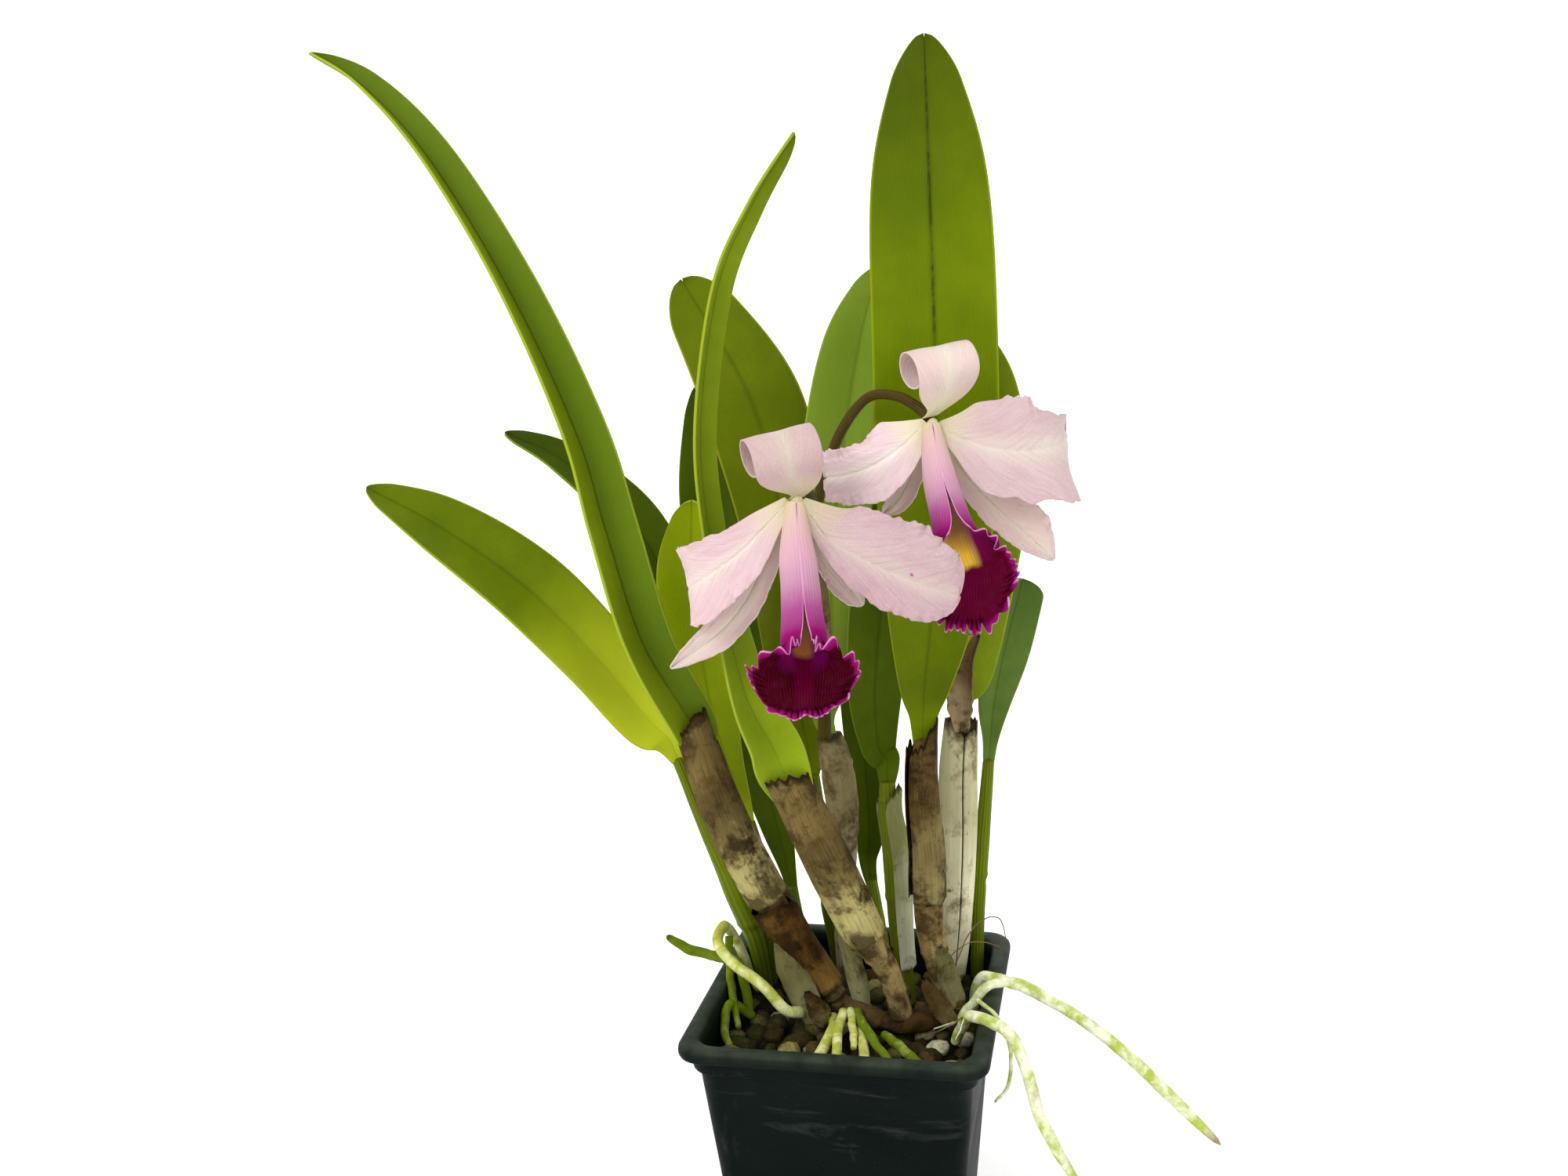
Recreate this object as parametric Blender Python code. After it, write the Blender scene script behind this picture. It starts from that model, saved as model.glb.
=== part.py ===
"""Cattleya orchid in flower, growing in a square plastic nursery pot.

Metres, +Z up. The origin is the centre of the pot's underside, on the surface it stands on;
the pot's sides lie along X and Y and the flowers face -Y.
"""
import math

import bmesh
import bpy
from mathutils import Vector

# Driving dimensions, in millimetres unless a name says otherwise
MM = 0.001
POT_RIM = 120.0
POT_TOP = 108.0
POT_BASE = 87.0
POT_HEIGHT = 115.0
POT_WALL = 1.6
RIM_HEIGHT = 5.5
RIM_BAND = 7.0
RIM_INSET = 2.0
CORNER = 7.0
DRAIN_RADIUS = 4.5
DRAIN_OFFSET = 24.0
MEDIUM_TOP = 100.0
MEDIUM_BASE = 3.0
MEDIUM_GAP = 0.4
LEAF_THICK = 1.4
PETAL_THICK = 0.9
LIP_THICK = 0.9
SHEATH_THICK = 0.7
SHEATH_GAP = 0.45
LEAF_SEAT = 0.5
LEAF_NECK = 9.0

# Rhizome lying on the medium
RHIZOME = [(-15, 8, 105), (-6, 3, 105), (8, -5, 105), (22, -9, 105), (34, -3, 105), (46, 3, 105)]
RHIZOME_RADII = [3.2, 4.4, 4.0, 4.6, 4.0, 3.4]

# Pseudobulbs: centre line from the foot up, then radii at even steps
STEMS = {
    "front_left_pseudobulb": (
        [(-8, 3, 111), (-14, 3, 119), (-24, 0, 135), (-36, -3, 159), (-49, -6, 191), (-57, -8, 221)],
        [4.4, 4.2, 5.2, 6.2, 6.4, 5.6, 3.2],
    ),
    "front_centre_pseudobulb": (
        [(21, -9, 110.2), (17, -13, 129), (9, -16, 145), (0, -20, 168), (-8, -24, 190), (-15, -28, 210)],
        [3.8, 4.2, 5.4, 6.8, 7.0, 5.6, 3.6],
    ),
    "flowering_pseudobulb": (
        [(-9, 37, 100.4), (-10, 36, 136), (-8, 35, 170), (-9, 33, 196), (-12, 32, 213)],
        [5.0, 4.6, 5.4, 6.2, 6.0, 4.4],
    ),
    "centre_pseudobulb": (
        [(19, 17, 100.4), (17, 18, 135), (16, 19, 165), (14, 19, 184), (14, 20, 197)],
        [4.0, 4.2, 4.8, 4.6, 3.6, 3.2],
    ),
    "right_pseudobulb": (
        [(41, 2, 110.4), (36, 2, 122), (32, 1, 145), (32, 1, 175), (31, 0, 200), (32, 0, 222)],
        [4.6, 4.6, 5.4, 5.8, 5.4, 4.6, 3.6],
    ),
    "silvery_pseudobulb": (
        [(35, 38, 100.4), (38, 39, 130), (40, 39, 165), (41, 38, 195), (43, 38, 219)],
        [3.8, 4.4, 5.2, 5.6, 5.0, 3.6],
    ),
    "slender_right_pseudobulb": (
        [(46, 44, 100.4), (47, 46, 130), (49.5, 48.5, 164), (52.5, 51, 197)],
        [2.8, 2.8, 3.0, 2.4],
    ),
    "left_pseudobulb": (
        [(-43, 28, 100.4), (-47, 27, 125), (-56, 25, 151), (-66, 22, 177), (-75, 20, 205)],
        [4.0, 5.2, 6.4, 4.6, 3.0, 2.4],
    ),
    "short_back_pseudobulb": (
        [(-27, 22, 100.4), (-32, 21, 125), (-40, 20, 152), (-46, 20, 178)],
        [3.6, 4.4, 4.2, 3.0],
    ),
    "far_left_pseudobulb": (
        [(-37, 45, 100.4), (-44, 43, 130), (-52, 41, 160), (-60, 38, 186)],
        [3.4, 4.4, 4.0, 2.6],
    ),
    "back_pseudobulb": (
        [(-14, 45, 100.4), (-18, 47, 130), (-22, 50, 160), (-24, 50, 189)],
        [3.4, 4.0, 4.4, 3.2],
    ),
    "back_right_pseudobulb": (
        [(6, 45, 100.4), (3, 48, 119), (-0.5, 54, 139)],
        [3.2, 3.4, 2.6],
    ),
    "dark_back_pseudobulb": (
        [(-27, 46, 100.4), (-33, 49.5, 118), (-36, 51, 136)],
        [2.8, 3.0, 2.6],
    ),
}

# Leaves: the pseudobulb each one grows on, its midrib line from there to the tip, half widths
# at even steps, the way the upper face looks at base, middle and tip, and the fold in degrees
LEAVES = {
    "long_left_leaf": (
        "front_left_pseudobulb",
        [(-76, -12, 263), (-87, -14, 308), (-96, -14, 346), (-119, -9, 398),
         (-151, 0, 450), (-178, 5, 480), (-202, 8, 496)],
        [8, 13, 19, 20, 19, 17, 14, 9, 2.4],
        [(0.75, -0.5, 0.3), (0.8, -0.4, 0.4), (0.45, -0.5, 0.7)], 56,
    ),
    "small_left_leaf": (
        "far_left_pseudobulb",
        [(-65, 40, 222), (-74, 39, 258), (-91, 35, 302), (-118, 29, 330), (-142, 26, 343)],
        [3, 8, 10, 10, 9, 6, 2],
        [(0.3, -0.9, 0.1), (0.4, -0.8, 0.4), (0.3, -0.6, 0.8)], 22,
    ),
    "broad_left_leaf": (
        "left_pseudobulb",
        [(-86, 18, 223), (-105, 14, 250), (-131, 8, 281), (-164, 2, 308), (-193, -1, 325)],
        [3, 5, 9, 14, 17, 13.5, 4],
        [(0.4, -0.9, 0.2), (0.4, -0.75, 0.5), (0.3, -0.7, 0.6)], 20,
    ),
    "speckled_short_leaf": (
        "short_back_pseudobulb",
        [(-53, 15, 210), (-58, 13, 240), (-61, 13, 285), (-60, 15, 315)],
        [2.6, 4, 8, 13, 15, 6],
        [(0.2, -1, 0.1), (0.1, -1, 0.1), (0.1, -1, 0.2)], 16,
    ),
    "twisted_narrow_leaf": (
        "front_centre_pseudobulb",
        [(-22, -28, 227), (-31, -27, 245), (-38, -25, 273), (-43, -22, 302),
         (-46, -17, 345), (-38, -11, 397), (-24, -8, 427), (-7, -5, 452)],
        [7.5, 11, 12, 11, 10, 10, 10, 9, 6, 2],
        [(0.2, -1, 0.1), (0.9, -0.5, 0.1), (0.9, -0.4, -0.3)], 34,
    ),
    "notched_back_leaf": (
        "back_pseudobulb",
        [(-28, 50, 220), (-29, 51, 254), (-31, 51, 295), (-41, 48, 350), (-67, 44, 402)],
        [3, 6, 11, 15, 18, 21, 12],
        [(0.2, -1, 0.1), (0.2, -1, 0.1), (0.3, -0.9, 0.3)], 12,
    ),
    "tall_leaf": (
        "right_pseudobulb",
        [(33, 1, 242), (36, 4, 270), (39, 8, 313), (40, 10, 370), (39.5, 12, 436), (39, 14, 485)],
        [3.8, 5.6, 10, 17, 23, 24, 21.5, 8],
        [(0.1, -1, 0.1), (0.15, -1, 0.1), (0.1, -1, 0.2)], 12,
    ),
    "tall_back_leaf": (
        "flowering_pseudobulb",
        [(-10, 34, 240), (-8, 36, 281), (-3, 38, 325), (6, 40, 372), (15, 41, 403)],
        [3, 5, 9, 15, 17, 15, 5],
        [(0.1, -1, 0.1), (0.1, -1, 0.1), (0.1, -1, 0.2)], 15,
    ),
    "right_back_leaf": (
        "silvery_pseudobulb",
        [(48, 36, 240), (52, 31, 280), (54, 27, 320), (52, 26, 355), (49, 27, 378)],
        [3, 5, 8, 14, 15, 10, 4],
        [(0.2, -1, 0.1), (0.3, -1, 0.1), (0.2, -1, 0.2)], 15,
    ),
    "low_right_leaf": (
        "slender_right_pseudobulb",
        [(55, 51, 221), (60, 50, 245), (68, 50, 275)],
        [2.2, 3.5, 7, 11, 10.5],
        [(0.3, -1, 0.1), (0.4, -1, 0.1), (0.4, -0.9, 0.2)], 15,
    ),
    "low_centre_leaf": (
        "centre_pseudobulb",
        [(11, 19, 213), (11, 18, 240), (17, 18, 285), (26, 20, 335)],
        [3, 5.5, 7.6, 11.6, 13, 5],
        [(0.1, -1, 0.1), (0.15, -1, 0.1), (0.2, -1, 0.2)], 14,
    ),
    "narrow_back_leaf": (
        "back_right_pseudobulb",
        [(-1, 57, 165), (-3, 60, 217), (-7, 64, 286), (-10, 68, 366)],
        [2.6, 4, 7, 9, 9, 3],
        [(0.1, -1, 0.1), (0.1, -1, 0.1), (0.1, -1, 0.1)], 15,
    ),
    "dark_back_leaf": (
        "dark_back_pseudobulb",
        [(-42, 54, 165), (-50, 58, 200), (-59, 62, 251), (-66, 64, 310), (-69, 64, 357)],
        [2.6, 4, 8, 13, 16, 14, 4],
        [(0, -1, 0.1), (-0.1, -1, 0.1), (-0.1, -1, 0.1)], 12,
    ),
}

# Dry sheaths: the pseudobulb each one wraps, where it starts and ends along it,
# the arc it covers, the way its slit looks and how far its mouth flares
SHEATHS = {
    "front_left_upper_sheath": (
        "front_left_pseudobulb", 0.52, 0.97, 320, (0.9, 0.6, 0.3), 1.2, "brown_sheath",
    ),
    "front_left_lower_sheath": (
        "front_left_pseudobulb", 0.08, 0.48, 330, (0.9, 0.6, 0.3), 0.8, "brown_sheath",
    ),
    "front_centre_sheath": ("front_centre_pseudobulb", 0.37, 0.96, 320, (0.9, 0.6, 0.3), 1.2, "brown_sheath"),
    "centre_silver_sheath": ("centre_pseudobulb", 0.20, 0.86, 300, (-0.9, -0.75, 0.2), 1.0, "silver_sheath"),
    "right_sheath": ("right_pseudobulb", 0.45, 0.96, 300, (-0.9, -0.5, 0.0), 0.8, "silver_sheath"),
    "silvery_sheath": ("silvery_pseudobulb", 0.04, 0.97, 315, (0.1, -1.0, 0.0), 1.4, "silver_sheath"),
}

# Petals and sepals: rows of midrib point, width to the left and to the right, then the faces,
# the cupping in degrees, the ruffle, the slant and the finish
PETALS = {
    "front_flower_left_petal": (
        [(-7.4, -52.0, 323.4, 1.8, 1.8), (-14.6, -53, 315.8, 6.0, 6.0), (-22.7, -54.5, 307.5, 10.5, 9.5),
         (-31.7, -54.5, 301.1, 12.5, 12), (-39.7, -52, 296, 14, 14), (-45.5, -45, 292.2, 15, 14.5),
         (-46.4, -36, 289.9, 13, 13)],
        [(-0.1, -0.9, 0.4), (0.1, -1, 0.2), (-0.2, -1, 0.1), (-0.9, -0.5, 0.1)], 4, 0.8, 0.03, "petal_pink",
    ),
    "front_flower_right_petal": (
        [(1.6, -52.2, 324.2, 1.8, 1.8), (9.6, -54, 313.5, 11, 4.5), (21.6, -57, 304.6, 18, 11),
         (34.7, -59, 298.8, 19, 12.5), (45.3, -58.5, 294.4, 16, 12), (54, -55, 291.5, 12, 8)],
        [(0.2, -0.9, 0.4), (0.0, -1, 0.2), (-0.1, -1, 0.1)], 4, 0.9, 0.0, "petal_pink",
    ),
    "front_flower_left_sepal": (
        [(-4.9, -46.6, 321.6, 1.5, 1.5), (-15.3, -46.4, 303.4, 5.5, 5.5), (-24.9, -44.5, 286.9, 6.5, 6),
         (-37.7, -41, 273.3, 6, 6), (-56.5, -37, 260.2, 1.6, 1.6)],
        [(-0.1, -1, 0.1), (0.0, -1, 0.1), (0.2, -1, 0.1)], 12, 0.3, 0.0, "sepal_pink",
    ),
    "front_flower_right_sepal": (
        [(-1.2, -46.6, 321.6, 1.5, 1.5), (4, -46.6, 306.2, 4.5, 2.8), (11.9, -46.4, 295.3, 5, 5.5),
         (18.4, -46, 285.9, 2, 2.5)],
        [(0.1, -1, 0.1), (0.0, -1, 0.1), (0.0, -1, 0.1)], 10, 0.4, 0.0, "sepal_pink",
    ),
    "right_flower_left_petal": (
        [(38.2, -22.4, 346.8, 1.6, 1.6), (31.2, -24, 339.3, 8, 10.5), (21, -24.5, 333.1, 13, 9.7),
         (10.5, -23, 329.4, 11, 9.7), (3.3, -19, 328.1, 9, 10), (0.7, -12, 326.8, 8, 9)],
        [(0.0, -1, 0.3), (0.1, -1, 0.2), (-0.2, -1, 0.1), (-0.8, -0.6, 0)], 4, 0.7, 0.0, "petal_pink",
    ),
    "right_flower_right_petal": (
        [(46.6, -23, 346.8, 1.6, 1.6), (53.6, -26, 342.1, 10.5, 6), (65.1, -28, 338.7, 17.7, 15.5),
         (77.4, -28, 336.8, 19.7, 17), (85.4, -25, 335.6, 20.5, 16.5), (88.4, -19, 334.5, 20.5, 16.5),
         (87, -11, 333.5, 19, 15)],
        [(0.1, -1, 0.2), (0.1, -1, 0.1), (0.3, -1, 0.0), (0.9, -0.4, 0)], 4, 0.5, 0.07, "petal_pink",
    ),
    "right_flower_left_sepal": (
        [(40.2, -18.8, 344.9, 1.4, 1.4), (33.8, -17.2, 329.8, 4.5, 4.5), (27.8, -15.7, 318.7, 4.5, 4),
         (22.1, -13.7, 313.8, 1.5, 1.5)],
        [(0.0, -1, 0.1), (0.0, -1, 0.1), (0.2, -1, 0.1)], 8, 0.3, 0.0, "sepal_pink",
    ),
    "right_flower_right_sepal": (
        [(43.5, -18.8, 344.9, 1.4, 1.4), (54, -17, 326.5, 6, 5), (65, -16, 314.6, 8, 6.8),
         (74.8, -17, 305.4, 10, 6), (84.3, -19, 296.5, 2.5, 1.5)],
        [(0.1, -1, 0.1), (0.1, -1, 0.1), (0.1, -1, 0.2)], 8, 0.5, 0.0, "sepal_pink",
    ),
}

# Dorsal sepals roll back into a scroll: foot, left and right end of its axis, radius at each end,
# and how far the neck stands to the right
SCROLLS = {
    "front_flower_dorsal_sepal": (
        (-3.8, -47.6, 327.0), (-19.2, -54, 339.1), (2.2, -41, 342.4), 9.0, 9.4, 0.9,
    ),
    "right_flower_dorsal_sepal": (
        (41.4, -19.2, 349.8), (34.2, -24, 365.4), (54.4, -10, 368.4), 8.8, 8.2, 0.0,
    ),
}
SCROLL_WIDTHS = [0.2, 0.66, 0.9, 0.99, 1.0, 1.0, 0.97, 0.93, 0.86, 0.76, 0.6, 0.4]
SCROLL_NECK = 0.24
SCROLL_TURNS = 400

# Lips: rows of middle line point, half length across and half the angle it is rolled through,
# then the ways the inner face looks and the frill
LIPS = {
    "front_flower_lip": (
        [(-3.0, -53.2, 315.4, 13.5, 166), (-2.9, -55.4, 309.0, 16.5, 168), (-2.3, -58, 302.4, 18.5, 168),
         (-1.2, -61.5, 295, 20.5, 168), (-0.2, -65.5, 287, 21.5, 168), (0.8, -69.3, 279.5, 23, 168),
         (1.8, -73, 273.5, 24.5, 164), (2.6, -76.4, 269.8, 24.5, 138), (3.4, -79.8, 267.2, 21.5, 52),
         (4.1, -83.4, 264.2, 20, 14), (4.8, -86.8, 259.8, 18, 2), (5.4, -89.2, 254.8, 15, -8)],
        [(0.34, -0.88, 0.4), (0.3, -0.86, 0.44), (0.05, -0.8, 0.6)], 1.2,
    ),
    "right_flower_lip": (
        [(42.2, -24.4, 337.4, 13.5, 165), (43.2, -26.6, 331.5, 16, 167), (44.4, -29.5, 326, 18, 168),
         (46.4, -32.5, 318.5, 19.2, 167), (48.4, -35.5, 311.5, 20, 165), (50.2, -38.2, 305.5, 20.5, 142),
         (52.2, -41, 300, 20.5, 95), (53.9, -43.6, 294.5, 19.5, 40), (54.9, -45.6, 288.6, 18.5, 14),
         (55.2, -47, 282.3, 17, 2), (54.8, -47.6, 276, 14.5, -8)],
        [(0.25, -0.92, 0.3), (0.35, -0.9, 0.3), (0.15, -0.95, 0.3)], 1.0,
    ),
}
COLUMNS = {
    "front_flower_column": [(-3, -46.2, 324), (-3, -51, 323.2), (-2.3, -57, 319), (-1.6, -61.5, 311)],
    "right_flower_column": [(42, -18.8, 347.2), (42.4, -22.5, 345.9), (44.2, -28.5, 340.5), (46, -33, 333)],
}
COLUMN_RADII = [1.9, 2.3, 2.1, 1.4]

# Flower stalk: the main line ends behind the right flower, the branch behind the front flower
STALK = [
    (-12, 23.5, 214), (-11, 21, 240), (-11, 14, 275), (-8, 6, 308), (-1, 3, 331), (7, -1, 346),
    (17, -5, 356), (29, -10, 356), (37.6, -13.6, 351), (40.6, -16.6, 348.4),
]
STALK_RADII = [2.8, 2.6, 2.4, 2.2, 2.0, 2.0, 1.9, 1.9, 2.0, 2.2]
STALK_BRANCH = [(-8.4, 7, 306), (-6, -8, 318), (-5, -25, 325), (-4, -38, 326), (-3, -45.8, 324.4)]
BRANCH_RADII = [1.6, 1.9, 1.9, 2.0, 2.2]
SPATHE = [(-11.4, 22, 232), (-11, 16, 266), (-9.2, 9, 297)]
SPATHE_RADII = [3.7, 5.0, 4.2]
BRACT = [(43.3, 31.7, 215), (44, 28, 229), (47, 23, 245), (53, 19, 259)]
BRACT_WIDTHS = [2.5, 5, 6, 2]

# Roots: line and radii
ROOTS = {
    "left_looping_root": (
        [(-18, -2, 104), (-25, -14, 110), (-34, -15, 121), (-46, -12, 128), (-54, -8, 135), (-54, 2, 138),
         (-51, 10, 128), (-48, 16, 112), (-44, 18, 101)],
        [2.2, 2.3, 2.3, 2.2, 2.3, 2.2, 2.1, 2.0, 1.8],
    ),
    "left_reaching_root": (
        [(-44.5, -1, 101), (-47, 4, 111), (-51, 8, 118.6), (-58, 11, 119.4), (-66, 13, 120), (-74, 12, 122.5),
         (-82, 10, 129)],
        [2.0, 2.1, 2.2, 2.2, 2.1, 2.2, 1.4],
    ),
    "right_long_root": (
        [(48, 10, 102.5), (48.6, 10, 110), (52, 7.5, 118.6), (59, 4, 119.8), (68, 0, 119.8), (83, -4, 114),
         (98, -8, 106), (113, -13, 96), (128, -17, 83), (144, -22, 69)],
        [2.1, 2.2, 2.2, 2.3, 2.4, 2.3, 2.3, 2.4, 2.3, 1.4],
    ),
    "right_hanging_root": (
        [(43, -14, 101.2), (46, -19, 110), (50, -25, 118), (58, -31, 119.8), (67, -36, 116.5), (73, -42, 105),
         (77, -46, 92), (83, -48, 80), (93, -50, 62)],
        [2.0, 2.2, 2.3, 2.3, 2.4, 2.3, 2.3, 2.2, 1.3],
    ),
    "front_left_root": (
        [(-8, -4, 103.4), (-6, -18, 104.6), (-8, -34, 103), (-9, -46, 101.9)],
        [2.0, 2.2, 2.2, 1.5],
    ),
    "front_middle_root": (
        [(3, -8.6, 103.4), (7, -22, 104.6), (10, -36, 103), (11, -47, 101.9)],
        [2.0, 2.1, 2.0, 1.5],
    ),
    "front_right_root": (
        [(15, -17, 103.4), (22, -26, 104.6), (31, -36, 103), (37, -45, 101.8)],
        [1.9, 2.0, 1.9, 1.4],
    ),
}

# Bark and pumice pieces showing at the surface: centre x, y, radius, flatness
STONES = [
    (-42, -38, 9.5, 0.7), (-24, -41, 7.5, 0.7), (-22, -28, 5.5, 0.8), (-44, -22, 6.5, 0.7),
    (-32, -4, 6.0, 0.6), (1, -44, 5.0, 0.7), (22, -43, 6.5, 0.7), (45, -40, 6.0, 0.8),
    (33, -26, 4.8, 0.8), (-46, 8, 5.0, 0.7), (-30, 8, 5.5, 0.7), (8, 8, 5.5, 0.6),
    (24, 30, 6.0, 0.6), (4, 26, 5.5, 0.6), (50, 18, 4.5, 0.7), (-2, -28, 3.6, 0.8),
]
STONE_SINK = 1.5

MATERIALS = {
    "pot_plastic": ((0.020, 0.028, 0.024), 0.45),
    "bark_medium": ((0.16, 0.11, 0.07), 0.95),
    "root_skin": ((0.55, 0.56, 0.30), 0.75),
    "pseudobulb_green": ((0.20, 0.27, 0.07), 0.55),
    "rhizome_brown": ((0.20, 0.12, 0.06), 0.8),
    "brown_sheath": ((0.36, 0.24, 0.12), 0.85),
    "silver_sheath": ((0.55, 0.53, 0.42), 0.8),
    "leaf_green": ((0.13, 0.24, 0.05), 0.5),
    "petal_pink": ((0.80, 0.52, 0.68), 0.6),
    "sepal_pink": ((0.82, 0.60, 0.70), 0.6),
    "lip_magenta": ((0.55, 0.06, 0.28), 0.55),
    "column_cream": ((0.80, 0.76, 0.55), 0.5),
    "stalk_olive": ((0.25, 0.22, 0.10), 0.6),
    "dry_spathe": ((0.34, 0.22, 0.12), 0.85),
}


def clear():
    """Empty the scene before anything is built."""
    for thing in list(bpy.data.objects):
        bpy.data.objects.remove(thing, do_unlink=True)


def finish_material(name):
    """Return the named material, made on first use."""
    found = bpy.data.materials.get(name)
    if found:
        return found
    colour, roughness = MATERIALS[name]
    made = bpy.data.materials.new(name)
    made.use_nodes = True
    shader = made.node_tree.nodes["Principled BSDF"]
    shader.inputs["Base Color"].default_value = (*colour, 1.0)
    shader.inputs["Roughness"].default_value = roughness
    shader.inputs["Metallic"].default_value = 0.0
    return made


def add_object(name, bm, slot, smooth=True):
    """Turn a mesh drawn in millimetres into a named object in metres."""
    bmesh.ops.scale(bm, vec=(MM, MM, MM), verts=bm.verts)
    bmesh.ops.recalc_face_normals(bm, faces=bm.faces)
    for face in bm.faces:
        face.smooth = smooth
    mesh = bpy.data.meshes.new(name)
    bm.to_mesh(mesh)
    bm.free()
    mesh.materials.append(finish_material(slot))
    made = bpy.data.objects.new(name, mesh)
    bpy.context.scene.collection.objects.link(made)
    return made


def along(values, u):
    """Smooth curve through the values (numbers or points) at u from 0 to 1."""
    last = len(values) - 1
    place = min(max(u, 0.0), 1.0) * last
    i = min(int(place), last - 1)
    t = place - i
    p1 = values[i]
    p2 = values[i + 1]
    p0 = values[i - 1] if i > 0 else p1 + (p1 - p2)
    p3 = values[i + 2] if i + 2 <= last else p2 + (p2 - p1)
    return 0.5 * ((2 * p1) + (p2 - p0) * t + (2 * p0 - 5 * p1 + 4 * p2 - p3) * t * t
                  + (3 * p1 - p0 - 3 * p2 + p3) * t * t * t)


def straight(values, u):
    """Straight-line reading of the values at u from 0 to 1."""
    last = len(values) - 1
    place = min(max(u, 0.0), 1.0) * last
    i = min(int(place), last - 1)
    return values[i] + (values[i + 1] - values[i]) * (place - i)


def heading(points, u):
    """Direction of the curve at u."""
    return (along(points, min(u + 0.01, 1.0)) - along(points, max(u - 0.01, 0.0))).normalized()


def vectors(points):
    return [Vector(p) for p in points]


def frame_at(points, u, look):
    """Place, direction, side and outward look of a blade or tube at u."""
    place = along(points, u)
    way = heading(points, u)
    side = way.cross(look).normalized()
    return place, way, side, side.cross(way).normalized()


def thin_solid(name, rows, thickness, slot):
    """Close a grid of points into a sheet of even thickness."""
    deep = len(rows)
    wide = len(rows[0])
    bm = bmesh.new()
    front = []
    back = []
    for i in range(deep):
        front_row = []
        back_row = []
        for j in range(wide):
            du = rows[min(i + 1, deep - 1)][j] - rows[max(i - 1, 0)][j]
            dv = rows[i][min(j + 1, wide - 1)] - rows[i][max(j - 1, 0)]
            normal = dv.cross(du).normalized()
            front_row.append(bm.verts.new(rows[i][j] + normal * thickness / 2))
            back_row.append(bm.verts.new(rows[i][j] - normal * thickness / 2))
        front.append(front_row)
        back.append(back_row)
    for i in range(deep - 1):
        for j in range(wide - 1):
            bm.faces.new((front[i][j], front[i][j + 1], front[i + 1][j + 1], front[i + 1][j]))
            bm.faces.new((back[i][j], back[i + 1][j], back[i + 1][j + 1], back[i][j + 1]))
    for i in range(deep - 1):
        for j in (0, wide - 1):
            bm.faces.new((front[i][j], front[i + 1][j], back[i + 1][j], back[i][j]))
    for j in range(wide - 1):
        for i in (0, deep - 1):
            bm.faces.new((front[i][j], back[i][j], back[i][j + 1], front[i][j + 1]))
    return add_object(name, bm, slot)


def tube(name, points, radii, slot, sides=10, steps=10, look=(0.0, -1.0, 0.0), level=False):
    """Solid rod that follows the points with a changing radius, cut level at its foot when asked."""
    points = vectors(points)
    bm = bmesh.new()
    rings = []
    for k in range(steps + 1):
        u = k / steps
        place, _, side, out = frame_at(points, u, Vector(look))
        if level and k == 0:
            side = Vector((1, 0, 0))
            out = Vector((0, -1, 0))
        radius = along(radii, u)
        ring = []
        for n in range(sides):
            angle = 2 * math.pi * n / sides
            ring.append(bm.verts.new(place + (side * math.cos(angle) + out * math.sin(angle)) * radius))
        rings.append(ring)
    for k in range(steps):
        for n in range(sides):
            m = (n + 1) % sides
            bm.faces.new((rings[k][n], rings[k][m], rings[k + 1][m], rings[k + 1][n]))
    bm.faces.new(rings[0][::-1])
    bm.faces.new(rings[-1])
    return add_object(name, bm, slot)


def blade(name, points, widths, looks, fold, thickness, slot, steps=11, across=4):
    """Leaf: a sheet folded along its middle line."""
    points = vectors(points)
    looks = [Vector(look).normalized() for look in looks]
    tilt = math.radians(fold)
    rows = []
    for i in range(steps + 1):
        u = i / steps
        place, _, side, out = frame_at(points, u, straight(looks, u))
        half = along(widths, u) * (math.sqrt(1 - 0.9 * ((u - 0.94) / 0.06) ** 2) if u > 0.94 else 1.0)
        row = []
        for j in range(across + 1):
            v = 2 * j / across - 1
            row.append(place + side * v * half * math.cos(tilt) + out * abs(v) * half * math.sin(tilt))
        rows.append(row)
    return thin_solid(name, rows, thickness, slot)


def leaf_foot(stem):
    """First two points of a leaf that stands on the top of a pseudobulb."""
    points = vectors(STEMS[stem][0])
    way = heading(points, 1.0)
    return points[-1] + way * LEAF_SEAT, points[-1] + way * LEAF_NECK


def sheath(name, stem, start, end, arc, slit, flare, slot, steps=6, across=8):
    """Papery sheath around a pseudobulb, open along a slit."""
    points, radii = STEMS[stem]
    points = vectors(points)
    half_arc = math.radians(arc) / 2
    rows = []
    for i in range(steps + 1):
        t = i / steps
        u = start + (end - start) * t
        place, _, side, out = frame_at(points, u, -Vector(slit))
        radius = along(radii, u) / math.cos(math.pi / 10) + SHEATH_GAP + SHEATH_THICK / 2 + flare * t * t
        row = []
        for j in range(across + 1):
            angle = half_arc * (2 * j / across - 1)
            row.append(place + (side * math.sin(angle) + out * math.cos(angle)) * radius)
        rows.append(row)
    return thin_solid(name, rows, SHEATH_THICK, slot)


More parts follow.
